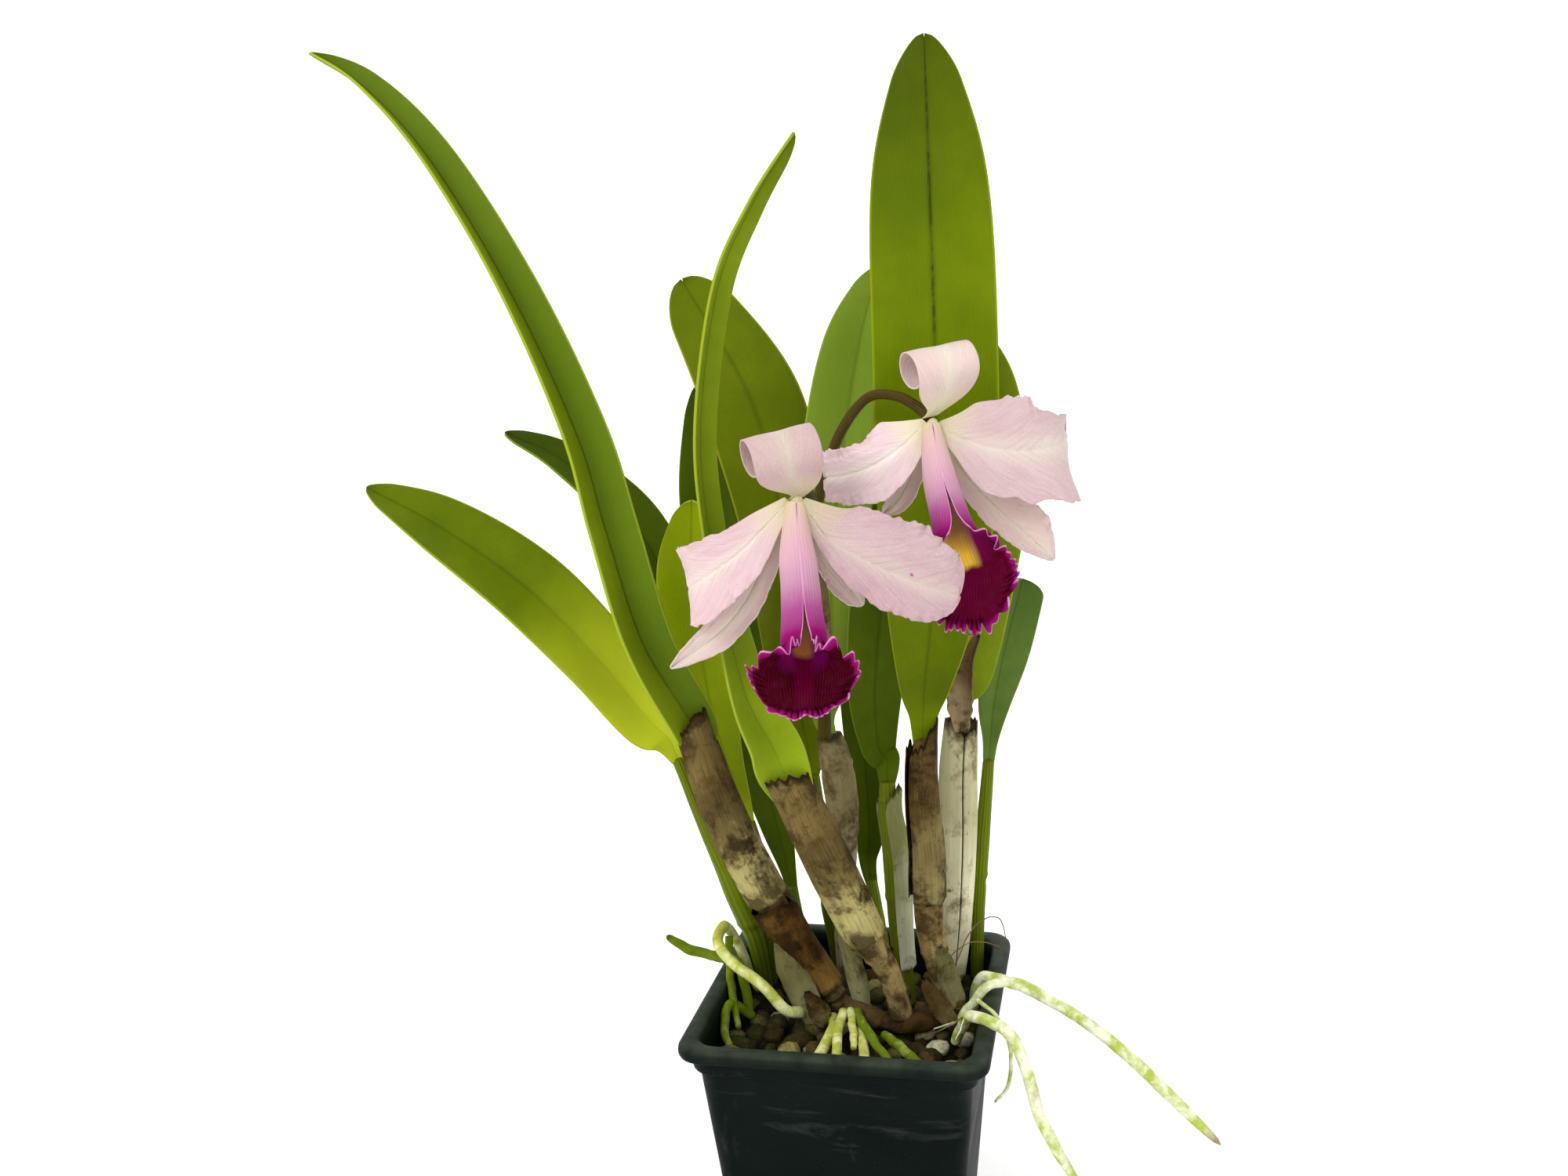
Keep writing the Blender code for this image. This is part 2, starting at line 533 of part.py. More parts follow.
def petal(name, table, looks, cup, ruffle, slant, slot, steps=13, across=6):
    """Petal or sepal with its own outline on each side of the midrib."""
    points = vectors(row[:3] for row in table)
    looks = [Vector(look).normalized() for look in looks]
    lefts = [row[3] for row in table]
    rights = [row[4] for row in table]
    tilt = math.radians(cup)
    rows = []
    for i in range(steps + 1):
        u = 1 - (1 - i / steps) ** 1.15
        lean = min(max((u - 0.2) / 0.5, 0.0), 1.0)
        row = []
        for j in range(across + 1):
            v = 2 * j / across - 1
            spot = u + (slant * v - abs(slant)) * lean
            place, _, side, out = frame_at(points, spot, straight(looks, spot))
            half = along(rights if v > 0 else lefts, u)
            half *= 1 + 0.05 * math.sin(u * 31 + (2.1 if v > 0 else 0.0)) * v * v * lean
            if u > 0.9:
                half *= math.sqrt(1 - 0.8 * ((u - 0.9) / 0.1) ** 2)
            wave = ruffle * math.sin(u * 19 + (1.3 if v > 0 else 0.0)) * v ** 4 * lean
            rise = half * math.sin(tilt) * v * v + wave
            row.append(place + side * half * v * math.cos(tilt * abs(v)) + out * rise)
        rows.append(row)
    thin_solid(name, rows, PETAL_THICK, slot)


def scroll(name, foot, left, right, radius_left, radius_right, lean, steps=26, across=6):
    """Dorsal sepal that rises from its foot and rolls back on itself."""
    foot = Vector(foot)
    left = Vector(left)
    right = Vector(right)
    axis = (right - left).normalized()
    ahead = Vector((axis.y, -axis.x, 0)).normalized()
    up = axis.cross(ahead)
    if up.z < 0:
        up = -up
    rows = []
    for i in range(steps + 1):
        u = i / steps
        wide = along(SCROLL_WIDTHS, u)
        row = []
        for j in range(across + 1):
            v = 2 * j / across - 1
            spot = 0.5 + 0.5 * v * wide + 0.5 * lean * (1 - wide) * (u < 0.6)
            centre = left.lerp(right, spot)
            radius = radius_left + (radius_right - radius_left) * spot
            turn = max(u - SCROLL_NECK, 0.0) / (1 - SCROLL_NECK)
            angle = math.radians(SCROLL_TURNS) * turn
            reach = radius * (1 - 0.52 * turn)
            if turn > 0:
                row.append(centre + (ahead * math.cos(angle) + up * math.sin(angle)) * reach)
                continue
            t = u / SCROLL_NECK
            offset = centre + ahead * reach - foot
            spread = axis.dot(offset)
            sideways = 1 - (1 - t) ** 2.4
            rise = (offset - axis * spread) * t - ahead * (0.10 * reach * math.sin(math.pi * t))
            row.append(foot + rise + axis * (spread * sideways + 2.2 * v * (1 - sideways)))
        rows.append(row)
    thin_solid(name, rows, PETAL_THICK, "sepal_pink")


def lip(name, table, looks, frill, steps=22, across=16):
    """Lip: side lobes rolled into a tube over the column, then a spread frilled midlobe."""
    points = vectors(row[:3] for row in table)
    looks = [Vector(look).normalized() for look in looks]
    halves = [row[3] for row in table]
    arcs = [row[4] for row in table]
    rows = []
    for i in range(steps + 1):
        u = i / steps
        low = min(max((u - 0.62) / 0.3, 0.0), 1.0)
        half = along(halves, u)
        arc = math.radians(along(arcs, u))
        row = []
        for j in range(across + 1):
            v = 2 * j / across - 1
            spot = u - 0.14 * low * (1 - math.sqrt(1 - 0.97 * v * v))
            place, _, side, out = frame_at(points, spot, straight(looks, spot))
            bend = half / arc if abs(arc) > 0.03 else half / 0.03
            angle = arc * v if abs(arc) > 0.03 else 0.03 * v
            wave = frill * math.sin(9 * math.pi * v + u * 5) * v * v * low
            row.append(place + side * bend * math.sin(angle) + out * (bend * (1 - math.cos(angle)) + wave))
        rows.append(row)
    thin_solid(name, rows, LIP_THICK, "lip_magenta")


def rounded_square(width, corner, height, per_corner=4):
    """Points of a square with rounded corners, centred on the axis."""
    ring = []
    inner = width / 2 - corner
    for quarter in range(4):
        cx = inner if quarter in (0, 3) else -inner
        cy = inner if quarter in (0, 1) else -inner
        for k in range(per_corner + 1):
            angle = math.pi / 2 * (quarter + k / per_corner)
            ring.append((cx + corner * math.cos(angle), cy + corner * math.sin(angle), height))
    return ring


def loft(bm, sections):
    """Skin a list of rings and cap both ends."""
    rings = [[bm.verts.new(p) for p in section] for section in sections]
    count = len(rings[0])
    for low, high in zip(rings, rings[1:]):
        for n in range(count):
            m = (n + 1) % count
            bm.faces.new((low[n], low[m], high[m], high[n]))
    bm.faces.new(rings[0][::-1])
    bm.faces.new(rings[-1])


def wall_width(height):
    """Outer width of the pot wall at a height."""
    return POT_BASE + (POT_TOP - POT_BASE) * height / (POT_HEIGHT - RIM_HEIGHT)


def pot():
    """Square tapered pot with a rolled rim and four drain holes."""
    under = POT_HEIGHT - RIM_HEIGHT
    band = under - RIM_BAND
    inner_top = POT_TOP - 2 * POT_WALL
    inner_floor = wall_width(POT_WALL) - 2 * POT_WALL
    sections = [
        rounded_square(POT_BASE, CORNER, 0.0),
        rounded_square(wall_width(band), CORNER, band),
        rounded_square(wall_width(band) + 2 * RIM_INSET, CORNER, band + 0.8),
        rounded_square(POT_TOP + 2 * RIM_INSET, CORNER, under),
        rounded_square(POT_RIM - 1.2, CORNER + 1, under + 0.3),
        rounded_square(POT_RIM, CORNER + 1, under + 1.8),
        rounded_square(POT_RIM - 0.6, CORNER + 1, POT_HEIGHT - 1.4),
        rounded_square(POT_RIM - 3.6, CORNER, POT_HEIGHT),
        rounded_square(inner_top + 3.0, CORNER, POT_HEIGHT - 0.3),
        rounded_square(inner_top, CORNER - 1, POT_HEIGHT - 2.5),
        rounded_square(inner_floor, CORNER - 1, POT_WALL),
    ]
    bm = bmesh.new()
    loft(bm, sections)
    body = add_object("pot", bm, "pot_plastic", smooth=False)
    holes = bmesh.new()
    for sx in (-1, 1):
        for sy in (-1, 1):
            made = bmesh.ops.create_cone(
                holes, cap_ends=True, segments=16, radius1=DRAIN_RADIUS, radius2=DRAIN_RADIUS, depth=10.0
            )
            bmesh.ops.translate(holes, vec=(sx * DRAIN_OFFSET, sy * DRAIN_OFFSET, 0.0), verts=made["verts"])
    cutter = add_object("drain_hole_cutter", holes, "pot_plastic", smooth=False)
    combine(body, cutter, "DIFFERENCE")


def combine(body, other, operation):
    """Cut or add a second shape that isn't shown itself."""
    other.hide_render = True
    other.display_type = "WIRE"
    step = body.modifiers.new(operation.lower(), "BOOLEAN")
    step.operation = operation
    step.solver = "EXACT"
    step.object = other


def medium():
    """Bark and pumice filling the pot, with pieces standing out of its surface."""
    floor = wall_width(POT_WALL) - 2 * POT_WALL
    slope = (POT_TOP - 2 * POT_WALL - floor) / (POT_HEIGHT - 2.5 - POT_WALL)
    low = floor + slope * (MEDIUM_BASE - POT_WALL) - 2 * MEDIUM_GAP
    high = floor + slope * (MEDIUM_TOP - POT_WALL) - 2 * MEDIUM_GAP
    bm = bmesh.new()
    loft(bm, [
        rounded_square(low, CORNER - 1, POT_WALL + MEDIUM_GAP),
        rounded_square(high, CORNER - 1, MEDIUM_TOP),
    ])
    body = add_object("potting_medium", bm, "bark_medium", smooth=False)
    lumps = bmesh.new()
    for n, (x, y, radius, flat) in enumerate(STONES):
        made = bmesh.ops.create_icosphere(lumps, subdivisions=2, radius=radius)
        for vert in made["verts"]:
            shift = 1 + 0.12 * math.sin(5 * vert.co.x / radius + n) * math.cos(4 * vert.co.y / radius + 2 * n)
            long = 1.15 if n % 2 else 0.95
            vert.co = Vector((vert.co.x * shift * long, vert.co.y * shift, vert.co.z * flat))
            vert.co.x = min(max(vert.co.x, -50.8 - x), 50.8 - x)
            vert.co.y = max(vert.co.y, -50.8 - y)
            vert.co += Vector((x, y, MEDIUM_TOP - STONE_SINK))
    combine(body, add_object("bark_pieces", lumps, "bark_medium", smooth=False), "UNION")


def flower_stalk():
    """Stalk that carries both flowers, and the dry spathe it came out of."""
    main = tube("flower_stalk", STALK, STALK_RADII, "stalk_olive", sides=8, steps=20, look=(0.3, -0.9, 0.2))
    branch = tube("stalk_branch", STALK_BRANCH, BRANCH_RADII, "stalk_olive", sides=8, steps=9, look=(1, 0, 0))
    combine(main, branch, "UNION")
    points = vectors(SPATHE)
    rows = []
    for i in range(7):
        u = i / 6
        place, _, side, out = frame_at(points, u, Vector((0.5, 0.8, 0.1)))
        radius = along(SPATHE_RADII, u)
        arc = math.radians(140 - 50 * u * u)
        row = []
        for j in range(9):
            angle = arc * (j / 4 - 1)
            row.append(place + (side * math.sin(angle) - out * math.cos(angle)) * radius)
        rows.append(row)
    thin_solid("flower_spathe", rows, SHEATH_THICK, "dry_spathe")


def build():
    """Build every piece of the plant and its pot."""
    clear()
    pot()
    medium()
    tube("rhizome", RHIZOME, RHIZOME_RADII, "rhizome_brown", sides=10, steps=10, look=(0, 0, 1))
    for name, (points, radii) in STEMS.items():
        tube(name, points, radii, "pseudobulb_green", sides=10, steps=9, level=points[0][2] < 101)
    for name, (stem, start, end, arc, slit, flare, slot) in SHEATHS.items():
        sheath(name, stem, start, end, arc, slit, flare, slot)
    for name, (stem, points, widths, looks, fold) in LEAVES.items():
        line = [*leaf_foot(stem), *points]
        blade(name, line, widths, looks, fold, LEAF_THICK, "leaf_green", steps=13)
    for name, (table, looks, cup, ruffle, slant, slot) in PETALS.items():
        petal(name, table, looks, cup, ruffle, slant, slot)
    for name, row in SCROLLS.items():
        scroll(name, *row)
    for name, (table, looks, frill) in LIPS.items():
        lip(name, table, looks, frill)
    for name, points in COLUMNS.items():
        tube(name, points, COLUMN_RADII, "column_cream", sides=8, steps=6)
    flower_stalk()
    faces = [(0.3, -1, 0), (-0.6, -0.8, 0)]
    blade("dry_bract", BRACT, BRACT_WIDTHS, faces, 30, SHEATH_THICK, "dry_spathe", steps=6)
    for name, (points, radii) in ROOTS.items():
        tube(name, points, radii, "root_skin", sides=7, steps=2 * len(points) - 2, look=(0.1, 0.2, 1))


build()
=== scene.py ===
"""Looks of a cattleya orchid in flower, growing in a square nursery pot.

Sizes are in millimetres in the tables and in metres in the meshes. +Z is up, the flowers face -Y.
"""
from __future__ import annotations

import logging
import math
import random
from collections.abc import Callable, Sequence
from dataclasses import dataclass, field
from enum import Enum

import bmesh
import bpy
from mathutils import Matrix, Vector, noise


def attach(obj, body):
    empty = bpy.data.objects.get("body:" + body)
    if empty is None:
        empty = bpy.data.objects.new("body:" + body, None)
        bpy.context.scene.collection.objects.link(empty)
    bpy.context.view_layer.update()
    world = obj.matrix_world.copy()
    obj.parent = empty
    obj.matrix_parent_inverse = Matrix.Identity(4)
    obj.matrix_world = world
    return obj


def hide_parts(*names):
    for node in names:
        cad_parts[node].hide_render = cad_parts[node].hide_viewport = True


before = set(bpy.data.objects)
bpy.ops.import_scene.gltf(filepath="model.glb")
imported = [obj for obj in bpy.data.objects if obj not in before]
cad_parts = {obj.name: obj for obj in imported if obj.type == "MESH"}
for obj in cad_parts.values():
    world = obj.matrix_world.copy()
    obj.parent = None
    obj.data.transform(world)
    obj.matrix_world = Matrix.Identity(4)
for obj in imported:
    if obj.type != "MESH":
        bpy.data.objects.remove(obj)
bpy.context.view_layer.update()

LOG = logging.getLogger("orchid")
MM = 0.001
# Step along a line, from 0 to 1, that its direction is read over.
NEAR = 0.01
# A stem whose foot is lower than this stands in the medium and is cut level, in millimetres.
MEDIUM_LEVEL = 101.0
# Sockets of a colour mix, which share their names with its other kinds.
MIX_FIRST = 6
MIX_SECOND = 7
MIX_RESULT = 2
# Faces across and along each kind of piece.
STEM_FACES = (28, 90)
SHEATH_FACES = (64, 70)
LEAF_FACES = (26, 110)
PETAL_FACES = (72, 90)
SCROLL_FACES = (52, 130)
LIP_FACES = (180, 170)
SCRAP_FACES = (22, 46)
SPATHE_FACES = (36, 60)
BRACT_FACES = (24, 60)
# Thickness of each kind of sheet, in millimetres.
LEAF_THICK = 1.1
PETAL_THICK = 0.55
LIP_THICK = 0.5
SHEATH_THICK = 0.45
SCRAP_THICK = 0.4
Point = tuple[float, float, float]
Colour = tuple[float, float, float]
Row = tuple[float, float, float, float, float]
Stops = Sequence[tuple[float, float]]
Shape = Callable[[float, float], Vector]
Socket = bpy.types.NodeSocket


def smooth(values: Sequence, u: float) -> float | Vector:
    """Read a smooth curve through evenly spaced values.

    Args:
        values: Numbers or vectors the curve passes through.
        u: Place along the curve, from 0 to 1.

    Returns:
        The value there, of the same kind as the values.
    """
    last = len(values) - 1
    place = min(max(u, 0.0), 1.0) * last
    i = min(int(place), last - 1)
    t = place - i
    p1 = values[i]
    p2 = values[i + 1]
    p0 = values[i - 1] if i > 0 else p1 + (p1 - p2)
    p3 = values[i + 2] if i + 2 <= last else p2 + (p2 - p1)
    return 0.5 * (
        (2 * p1)
        + (p2 - p0) * t
        + (2 * p0 - 5 * p1 + 4 * p2 - p3) * t * t
        + (3 * p1 - p0 - 3 * p2 + p3) * t * t * t
    )


def straight(values: Sequence, u: float) -> float | Vector:
    """Read straight lines through evenly spaced values.

    Args:
        values: Numbers or vectors the lines pass through.
        u: Place along them, from 0 to 1.

    Returns:
        The value there, of the same kind as the values.
    """
    last = len(values) - 1
    place = min(max(u, 0.0), 1.0) * last
    i = min(int(place), last - 1)
    return values[i] + (values[i + 1] - values[i]) * (place - i)


def ease(low: float, high: float, value: float) -> float:
    """Smooth step from 0 at low to 1 at high."""
    t = min(max((value - low) / (high - low), 0.0), 1.0)
    return t * t * (3 - 2 * t)


def wander(x: float, y: float, z: float = 0.0) -> float:
    """Smooth repeatable unevenness, about -1 to 1."""
    return noise.noise(Vector((x, y, z)))


def rounded(u: float, start: float, blunt: float) -> float:
    """Narrow as a round end does, from 1 at start down to blunt at 1."""
    past = max(u - start, 0.0) / (1 - start)
    return math.sqrt(max(1 - past * past, 0.0)) * (1 - blunt) + blunt


def toned(colour: Colour, factor: float) -> Colour:
    """Return a colour made darker or lighter."""
    return tuple(factor * c for c in colour)


class Spine:
    """Centre line of a leaf, petal, stem or root, with the way its face looks.

    Args:
        points: Points the line passes through, in millimetres.
        looks: Directions the face looks in, evenly spaced along the line.
    """

    def __init__(self, points: Sequence[Point], looks: Sequence[Point]) -> None:
        """Keep the points and looks as vectors."""
        self.points = [Vector(p) for p in points]
        self.looks = [Vector(p).normalized() for p in looks]
        self.known: dict[float, tuple[Vector, Vector, Vector, Vector]] = {}

    def way(self, u: float) -> Vector:
        """Return the direction of the line at u."""
        ahead = smooth(self.points, min(u + NEAR, 1.0))
        return (ahead - smooth(self.points, max(u - NEAR, 0.0))).normalized()

    def at(self, u: float) -> tuple[Vector, Vector, Vector, Vector]:
        """Read the line at one place.

        Args:
            u: Place along the line, from 0 to 1.

        Returns:
            Its place, its way, its side and the look outwards.
        """
        key = round(u, 5)
        if key not in self.known:
            place = smooth(self.points, u)
            way = self.way(u)
            look = straight(self.looks, u) if len(self.looks) > 1 else self.looks[0]
            side = way.cross(look).normalized()
            self.known[key] = (place, way, side, side.cross(way).normalized())
        return self.known[key]


class NodeBoard:
    """Small bench for wiring a material's nodes.

    Args:
        name: Name of the material that is made.
    """

    def __init__(self, name: str) -> None:
        """Make the material with its shader."""
        self.material = bpy.data.materials.new(name)
        self.material.use_nodes = True
        self.tree = self.material.node_tree
        self.shader = self.tree.nodes["Principled BSDF"]

    def node(self, kind: str, **settings: object) -> bpy.types.Node:
        """Add a node and set its own settings.

        Args:
            kind: Blender's name of the node type.
            settings: Attributes to set on it.

        Returns:
            The new node.
        """
        made = self.tree.nodes.new(kind)
        for key, value in settings.items():
            setattr(made, key, value)
        return made

    def link(self, source: Socket, target: Socket) -> None:
        """Join two sockets."""
        self.tree.links.new(source, target)

    def place(self, scale: Point = (1, 1, 1), uv: bool = False) -> Socket:
        """Coordinates to paint by, scaled.

        Args:
            scale: How many times the pattern repeats along each axis.
            uv: Whether to follow the piece's own map in place of its space.

        Returns:
            The coordinate socket.
        """
        coords = self.node("ShaderNodeTexCoord")
        mapping = self.node("ShaderNodeMapping")
        mapping.inputs["Scale"].default_value = scale
        self.link(coords.outputs["UV" if uv else "Object"], mapping.inputs["Vector"])
        return mapping.outputs["Vector"]

    def cloud(
        self, scale: float, detail: float = 4.0, rough: float = 0.55, where: Socket | None = None,
        warp: float = 0.0,
    ) -> Socket:
        """Soft uneven pattern.

        Args:
            scale: Size of the pattern; larger is finer.
            detail: How many finer layers it has.
            rough: How strong the finer layers are.
            where: Coordinates; the piece's space when left out.
            warp: Swirl in the pattern.

        Returns:
            The factor socket, from 0 to 1.
        """
        made = self.node("ShaderNodeTexNoise")
        made.inputs["Scale"].default_value = scale
        made.inputs["Detail"].default_value = detail
        made.inputs["Roughness"].default_value = rough
        made.inputs["Distortion"].default_value = warp
        self.link(where or self.place(), made.inputs["Vector"])
        return made.outputs["Fac"]

    def cells(self, scale: float) -> Socket:
        """Distance to scattered points.

        Args:
            scale: How close the points are; larger is closer.

        Returns:
            The distance socket.
        """
        made = self.node("ShaderNodeTexVoronoi")
        made.inputs["Scale"].default_value = scale
        self.link(self.place(), made.inputs["Vector"])
        return made.outputs["Distance"]

    def ramp(self, source: Socket, stops: Stops) -> Socket:
        """Bend a factor through grey stops.

        Args:
            source: Factor socket.
            stops: Pairs of place and brightness.

        Returns:
            The bent factor.
        """
        return self.colours(source, [(at, (v, v, v)) for at, v in stops])

    def colours(self, source: Socket, stops: Sequence[tuple[float, Colour]]) -> Socket:
        """Colour a factor through a ramp.

        Args:
            source: Factor socket.
            stops: Pairs of place and colour.

        Returns:
            The colour socket.
        """
        made = self.node("ShaderNodeValToRGB")
        ramp = made.color_ramp
        ramp.elements[0].position = stops[0][0]
        ramp.elements[0].color = (*stops[0][1], 1)
        ramp.elements[1].position = stops[-1][0]
        ramp.elements[1].color = (*stops[-1][1], 1)
        for at, colour in stops[1:-1]:
            ramp.elements.new(at).color = (*colour, 1)
        self.link(source, made.inputs["Fac"])
        return made.outputs["Color"]

    def mix(
        self, factor: Socket | float, first: Socket | Colour,
        second: Socket | Colour, blend: str = "MIX",
    ) -> Socket:
        """Mix two colours.

        Args:
            factor: How much of the second shows.
            first: Colour or socket under it.
            second: Colour or socket over it.
            blend: Blender's name of the mixing mode.

        Returns:
            The mixed colour.
        """
        made = self.node("ShaderNodeMix", data_type="RGBA", blend_type=blend)
        sockets = (made.inputs["Factor"], made.inputs[MIX_FIRST], made.inputs[MIX_SECOND])
        for socket, value in zip(sockets, (factor, first, second)):
            if isinstance(value, Socket):
                self.link(value, socket)
            elif isinstance(value, (int, float)):
                socket.default_value = value
            else:
                socket.default_value = (*value, 1)
        return made.outputs[MIX_RESULT]

    def lay(self, under: Socket, pattern: Socket, stops: Stops, over: Socket | Colour) -> Socket:
        """Lay one colour over another where a pattern says.

        Args:
            under: Colour so far.
            pattern: Factor that says where.
            stops: Pairs of the factor's value and how much shows there.
            over: Colour that is laid over it.

        Returns:
            The mixed colour.
        """
        return self.mix(self.ramp(pattern, stops), under, over)

    def maths(self, kind: str, first: Socket | float, second: Socket | float = 0.0) -> Socket:
        """One sum on two factors.

        Args:
            kind: Blender's name of the operation.
            first: First number or socket.
            second: Second number or socket.

        Returns:
            The result.
        """
        made = self.node("ShaderNodeMath", operation=kind)
        for socket, value in zip(made.inputs, (first, second)):
            if isinstance(value, Socket):
                self.link(value, socket)
            else:
                socket.default_value = value
        return made.outputs[0]

    def times(self, first: Socket | float, second: Socket | float) -> Socket:
        """Multiply two factors."""
        return self.maths("MULTIPLY", first, second)

    def across(self) -> Socket:
        """Distance from the middle line of a blade: 0 on it, 1 at the margins."""
        apart = self.maths("SUBTRACT", self.map_axis("X"), 0.5)
        return self.times(self.maths("ABSOLUTE", apart), 2.0)

    def map_axis(self, axis: str) -> Socket:
        """One axis of the piece's own map.

        Args:
            axis: X, which runs across or round, or Y, which runs along.

        Returns:
            The place on that axis, from 0 to 1.
        """
        split = self.node("ShaderNodeSeparateXYZ")
        self.link(self.place(uv=True), split.inputs[0])
        return split.outputs[axis]

    def stripes(self, count: float, warp: float, scale: float = 1.0) -> Socket:
        """Fine lines that run along a blade or stem.

        Args:
            count: Fineness; about half as many lines cross the map.
            warp: How far they waver.
            scale: How often they waver along the piece.

        Returns:
            The factor socket.
        """
        made = self.node("ShaderNodeTexWave", wave_type="BANDS", bands_direction="X")
        made.inputs["Scale"].default_value = count / 6.0
        made.inputs["Distortion"].default_value = warp
        made.inputs["Detail"].default_value = 2.0
        made.inputs["Detail Scale"].default_value = 1.5
        self.link(self.place((1, scale, 1), uv=True), made.inputs["Vector"])
        return made.outputs["Fac"]

    def bump(self, heights: Sequence[tuple[Socket, float]]) -> None:
        """Add layers of relief to the shader.

        Args:
            heights: Pairs of height socket and depth in millimetres.
        """
        under: Socket | None = None
        for height, depth in heights:
            made = self.node("ShaderNodeBump")
            made.inputs["Strength"].default_value = 1.0
            made.inputs["Distance"].default_value = depth * MM
            self.link(height, made.inputs["Height"])
            if under:
                self.link(under, made.inputs["Normal"])
            under = made.outputs["Normal"]
        if under:
            self.link(under, self.shader.inputs["Normal"])

    def finish(
        self, colour: Socket, roughness: Socket | float, specular: float, sheen: float = 0.0,
    ) -> bpy.types.Material:
        """Wire the shader and hand over the material.

        Args:
            colour: Base colour.
            roughness: Roughness number or socket.
            specular: Specular level.
            sheen: Sheen weight.

        Returns:
            The finished material.
        """
        self.link(colour, self.shader.inputs["Base Color"])
        if isinstance(roughness, Socket):
            self.link(roughness, self.shader.inputs["Roughness"])
        else:
            self.shader.inputs["Roughness"].default_value = roughness
        self.shader.inputs["Specular IOR Level"].default_value = specular
        self.shader.inputs["Sheen Weight"].default_value = sheen
        return self.material


@dataclass(frozen=True)
class LeafFinish:
    """Leathery green leaf with a pale margin, fine long veins, dark specks and painted shade."""

    name: str
    deep: Colour
    bright: Colour
    margin: Colour
    specks: float = 0.3
    yellow: float = 0.0
    rough: float = 0.38
    foot: Colour | None = None
    foot_reach: float = 0.22
    # Painted shade and light along the blade, as brightness stops from foot to tip.
    shade: Stops = ()
    streak: float = 0.0
    # Depth of the painted shade in the midrib crease.
    crease: float = 0.38
    # Colour of the painted shade on the half of the fold that faces away from the light, darker and a little
    # bluer.
    painted_shade_half: Colour | None = None

    def make(self) -> bpy.types.Material:
        """Wire the leaf material.

        Returns:
            The finished material.
        """
        b = NodeBoard(self.name)
        broad = b.cloud(14, 3, 0.5)
        fine = b.cloud(160, 5, 0.6)
        veins = b.stripes(90, 1.2, 0.3)
        body = b.mix(b.ramp(broad, [(0.3, 0), (0.7, 1)]), self.deep, self.bright)
        body = b.lay(body, fine, [(0.35, 0.0), (0.75, 0.35)], self.deep)
        body = b.mix(b.times(veins, 0.16), body, self.bright)
        across = b.across()
        # Painted shade in the midrib crease, darkest on the midrib line; the same mask sinks the crease in
        # the relief.
        crease_shade = b.ramp(across, [(0.0, self.crease), (0.03, 0.6 * self.crease), (0.09, 0.0)])
        body = b.mix(crease_shade, body, toned(self.deep, 0.45))
        along = b.map_axis("Y")
        pale = b.times(b.ramp(along, [(0.0, 0.92), (0.4 * self.foot_reach, 0.75), (self.foot_reach, 0.0)]),
                       b.ramp(broad, [(0.2, 0.5), (0.8, 1)]))
        body = b.mix(pale, body, self.foot or toned(self.bright, 1.35))
        # Painted shade on the half of the fold that faces away from the light.
        if self.painted_shade_half:
            half = b.ramp(b.maths("ADD", b.map_axis("X"), b.times(fine, 0.03)), [(0.50, 0), (0.54, 0.75)])
            body = b.mix(half, body, self.painted_shade_half)
        # Painted shade and light along the blade: the stops darken or lighten the colour from foot to tip.
        if self.shade:
            body = b.mix(1.0, body, b.ramp(along, self.shade), "MULTIPLY")
        if self.streak:
            line = b.times(b.ramp(across, [(0.0, 1), (0.045, 0)]),
                           b.ramp(along, [(0.5, 0), (0.68, self.streak)]))
            line = b.times(line, b.ramp(b.cloud(230, 4, 0.7), [(0.42, 0.25), (0.56, 1)]))
            body = b.mix(line, body, (0.02, 0.02, 0.004))
        if self.yellow:
            patch = b.times(b.ramp(across, [(0.35, 0), (0.95, 1)]), b.ramp(along, [(0.1, 1), (0.75, 0)]))
            patch = b.times(patch, b.ramp(b.cloud(30, 3), [(0.4, 0), (0.65, self.yellow)]))
            body = b.mix(patch, body, (0.45, 0.42, 0.05))
        dots = b.ramp(b.cells(420), [(0.0, 1), (0.16, 0)])
        dots = b.times(dots, b.ramp(b.cloud(45, 3), [(0.52, 0), (0.68, self.specks)]))
        body = b.mix(dots, body, (0.02, 0.025, 0.006))
        edge = b.ramp(across, [(0.955, 0), (0.99, 0.7)])
        body = b.mix(edge, body, self.margin)
        rough = b.ramp(fine, [(0.2, self.rough - 0.08), (0.8, self.rough + 0.14)])
        b.bump([(broad, 0.5), (veins, 0.06), (fine, 0.08), (crease_shade, -0.35)])
        return b.finish(body, rough, 0.05)


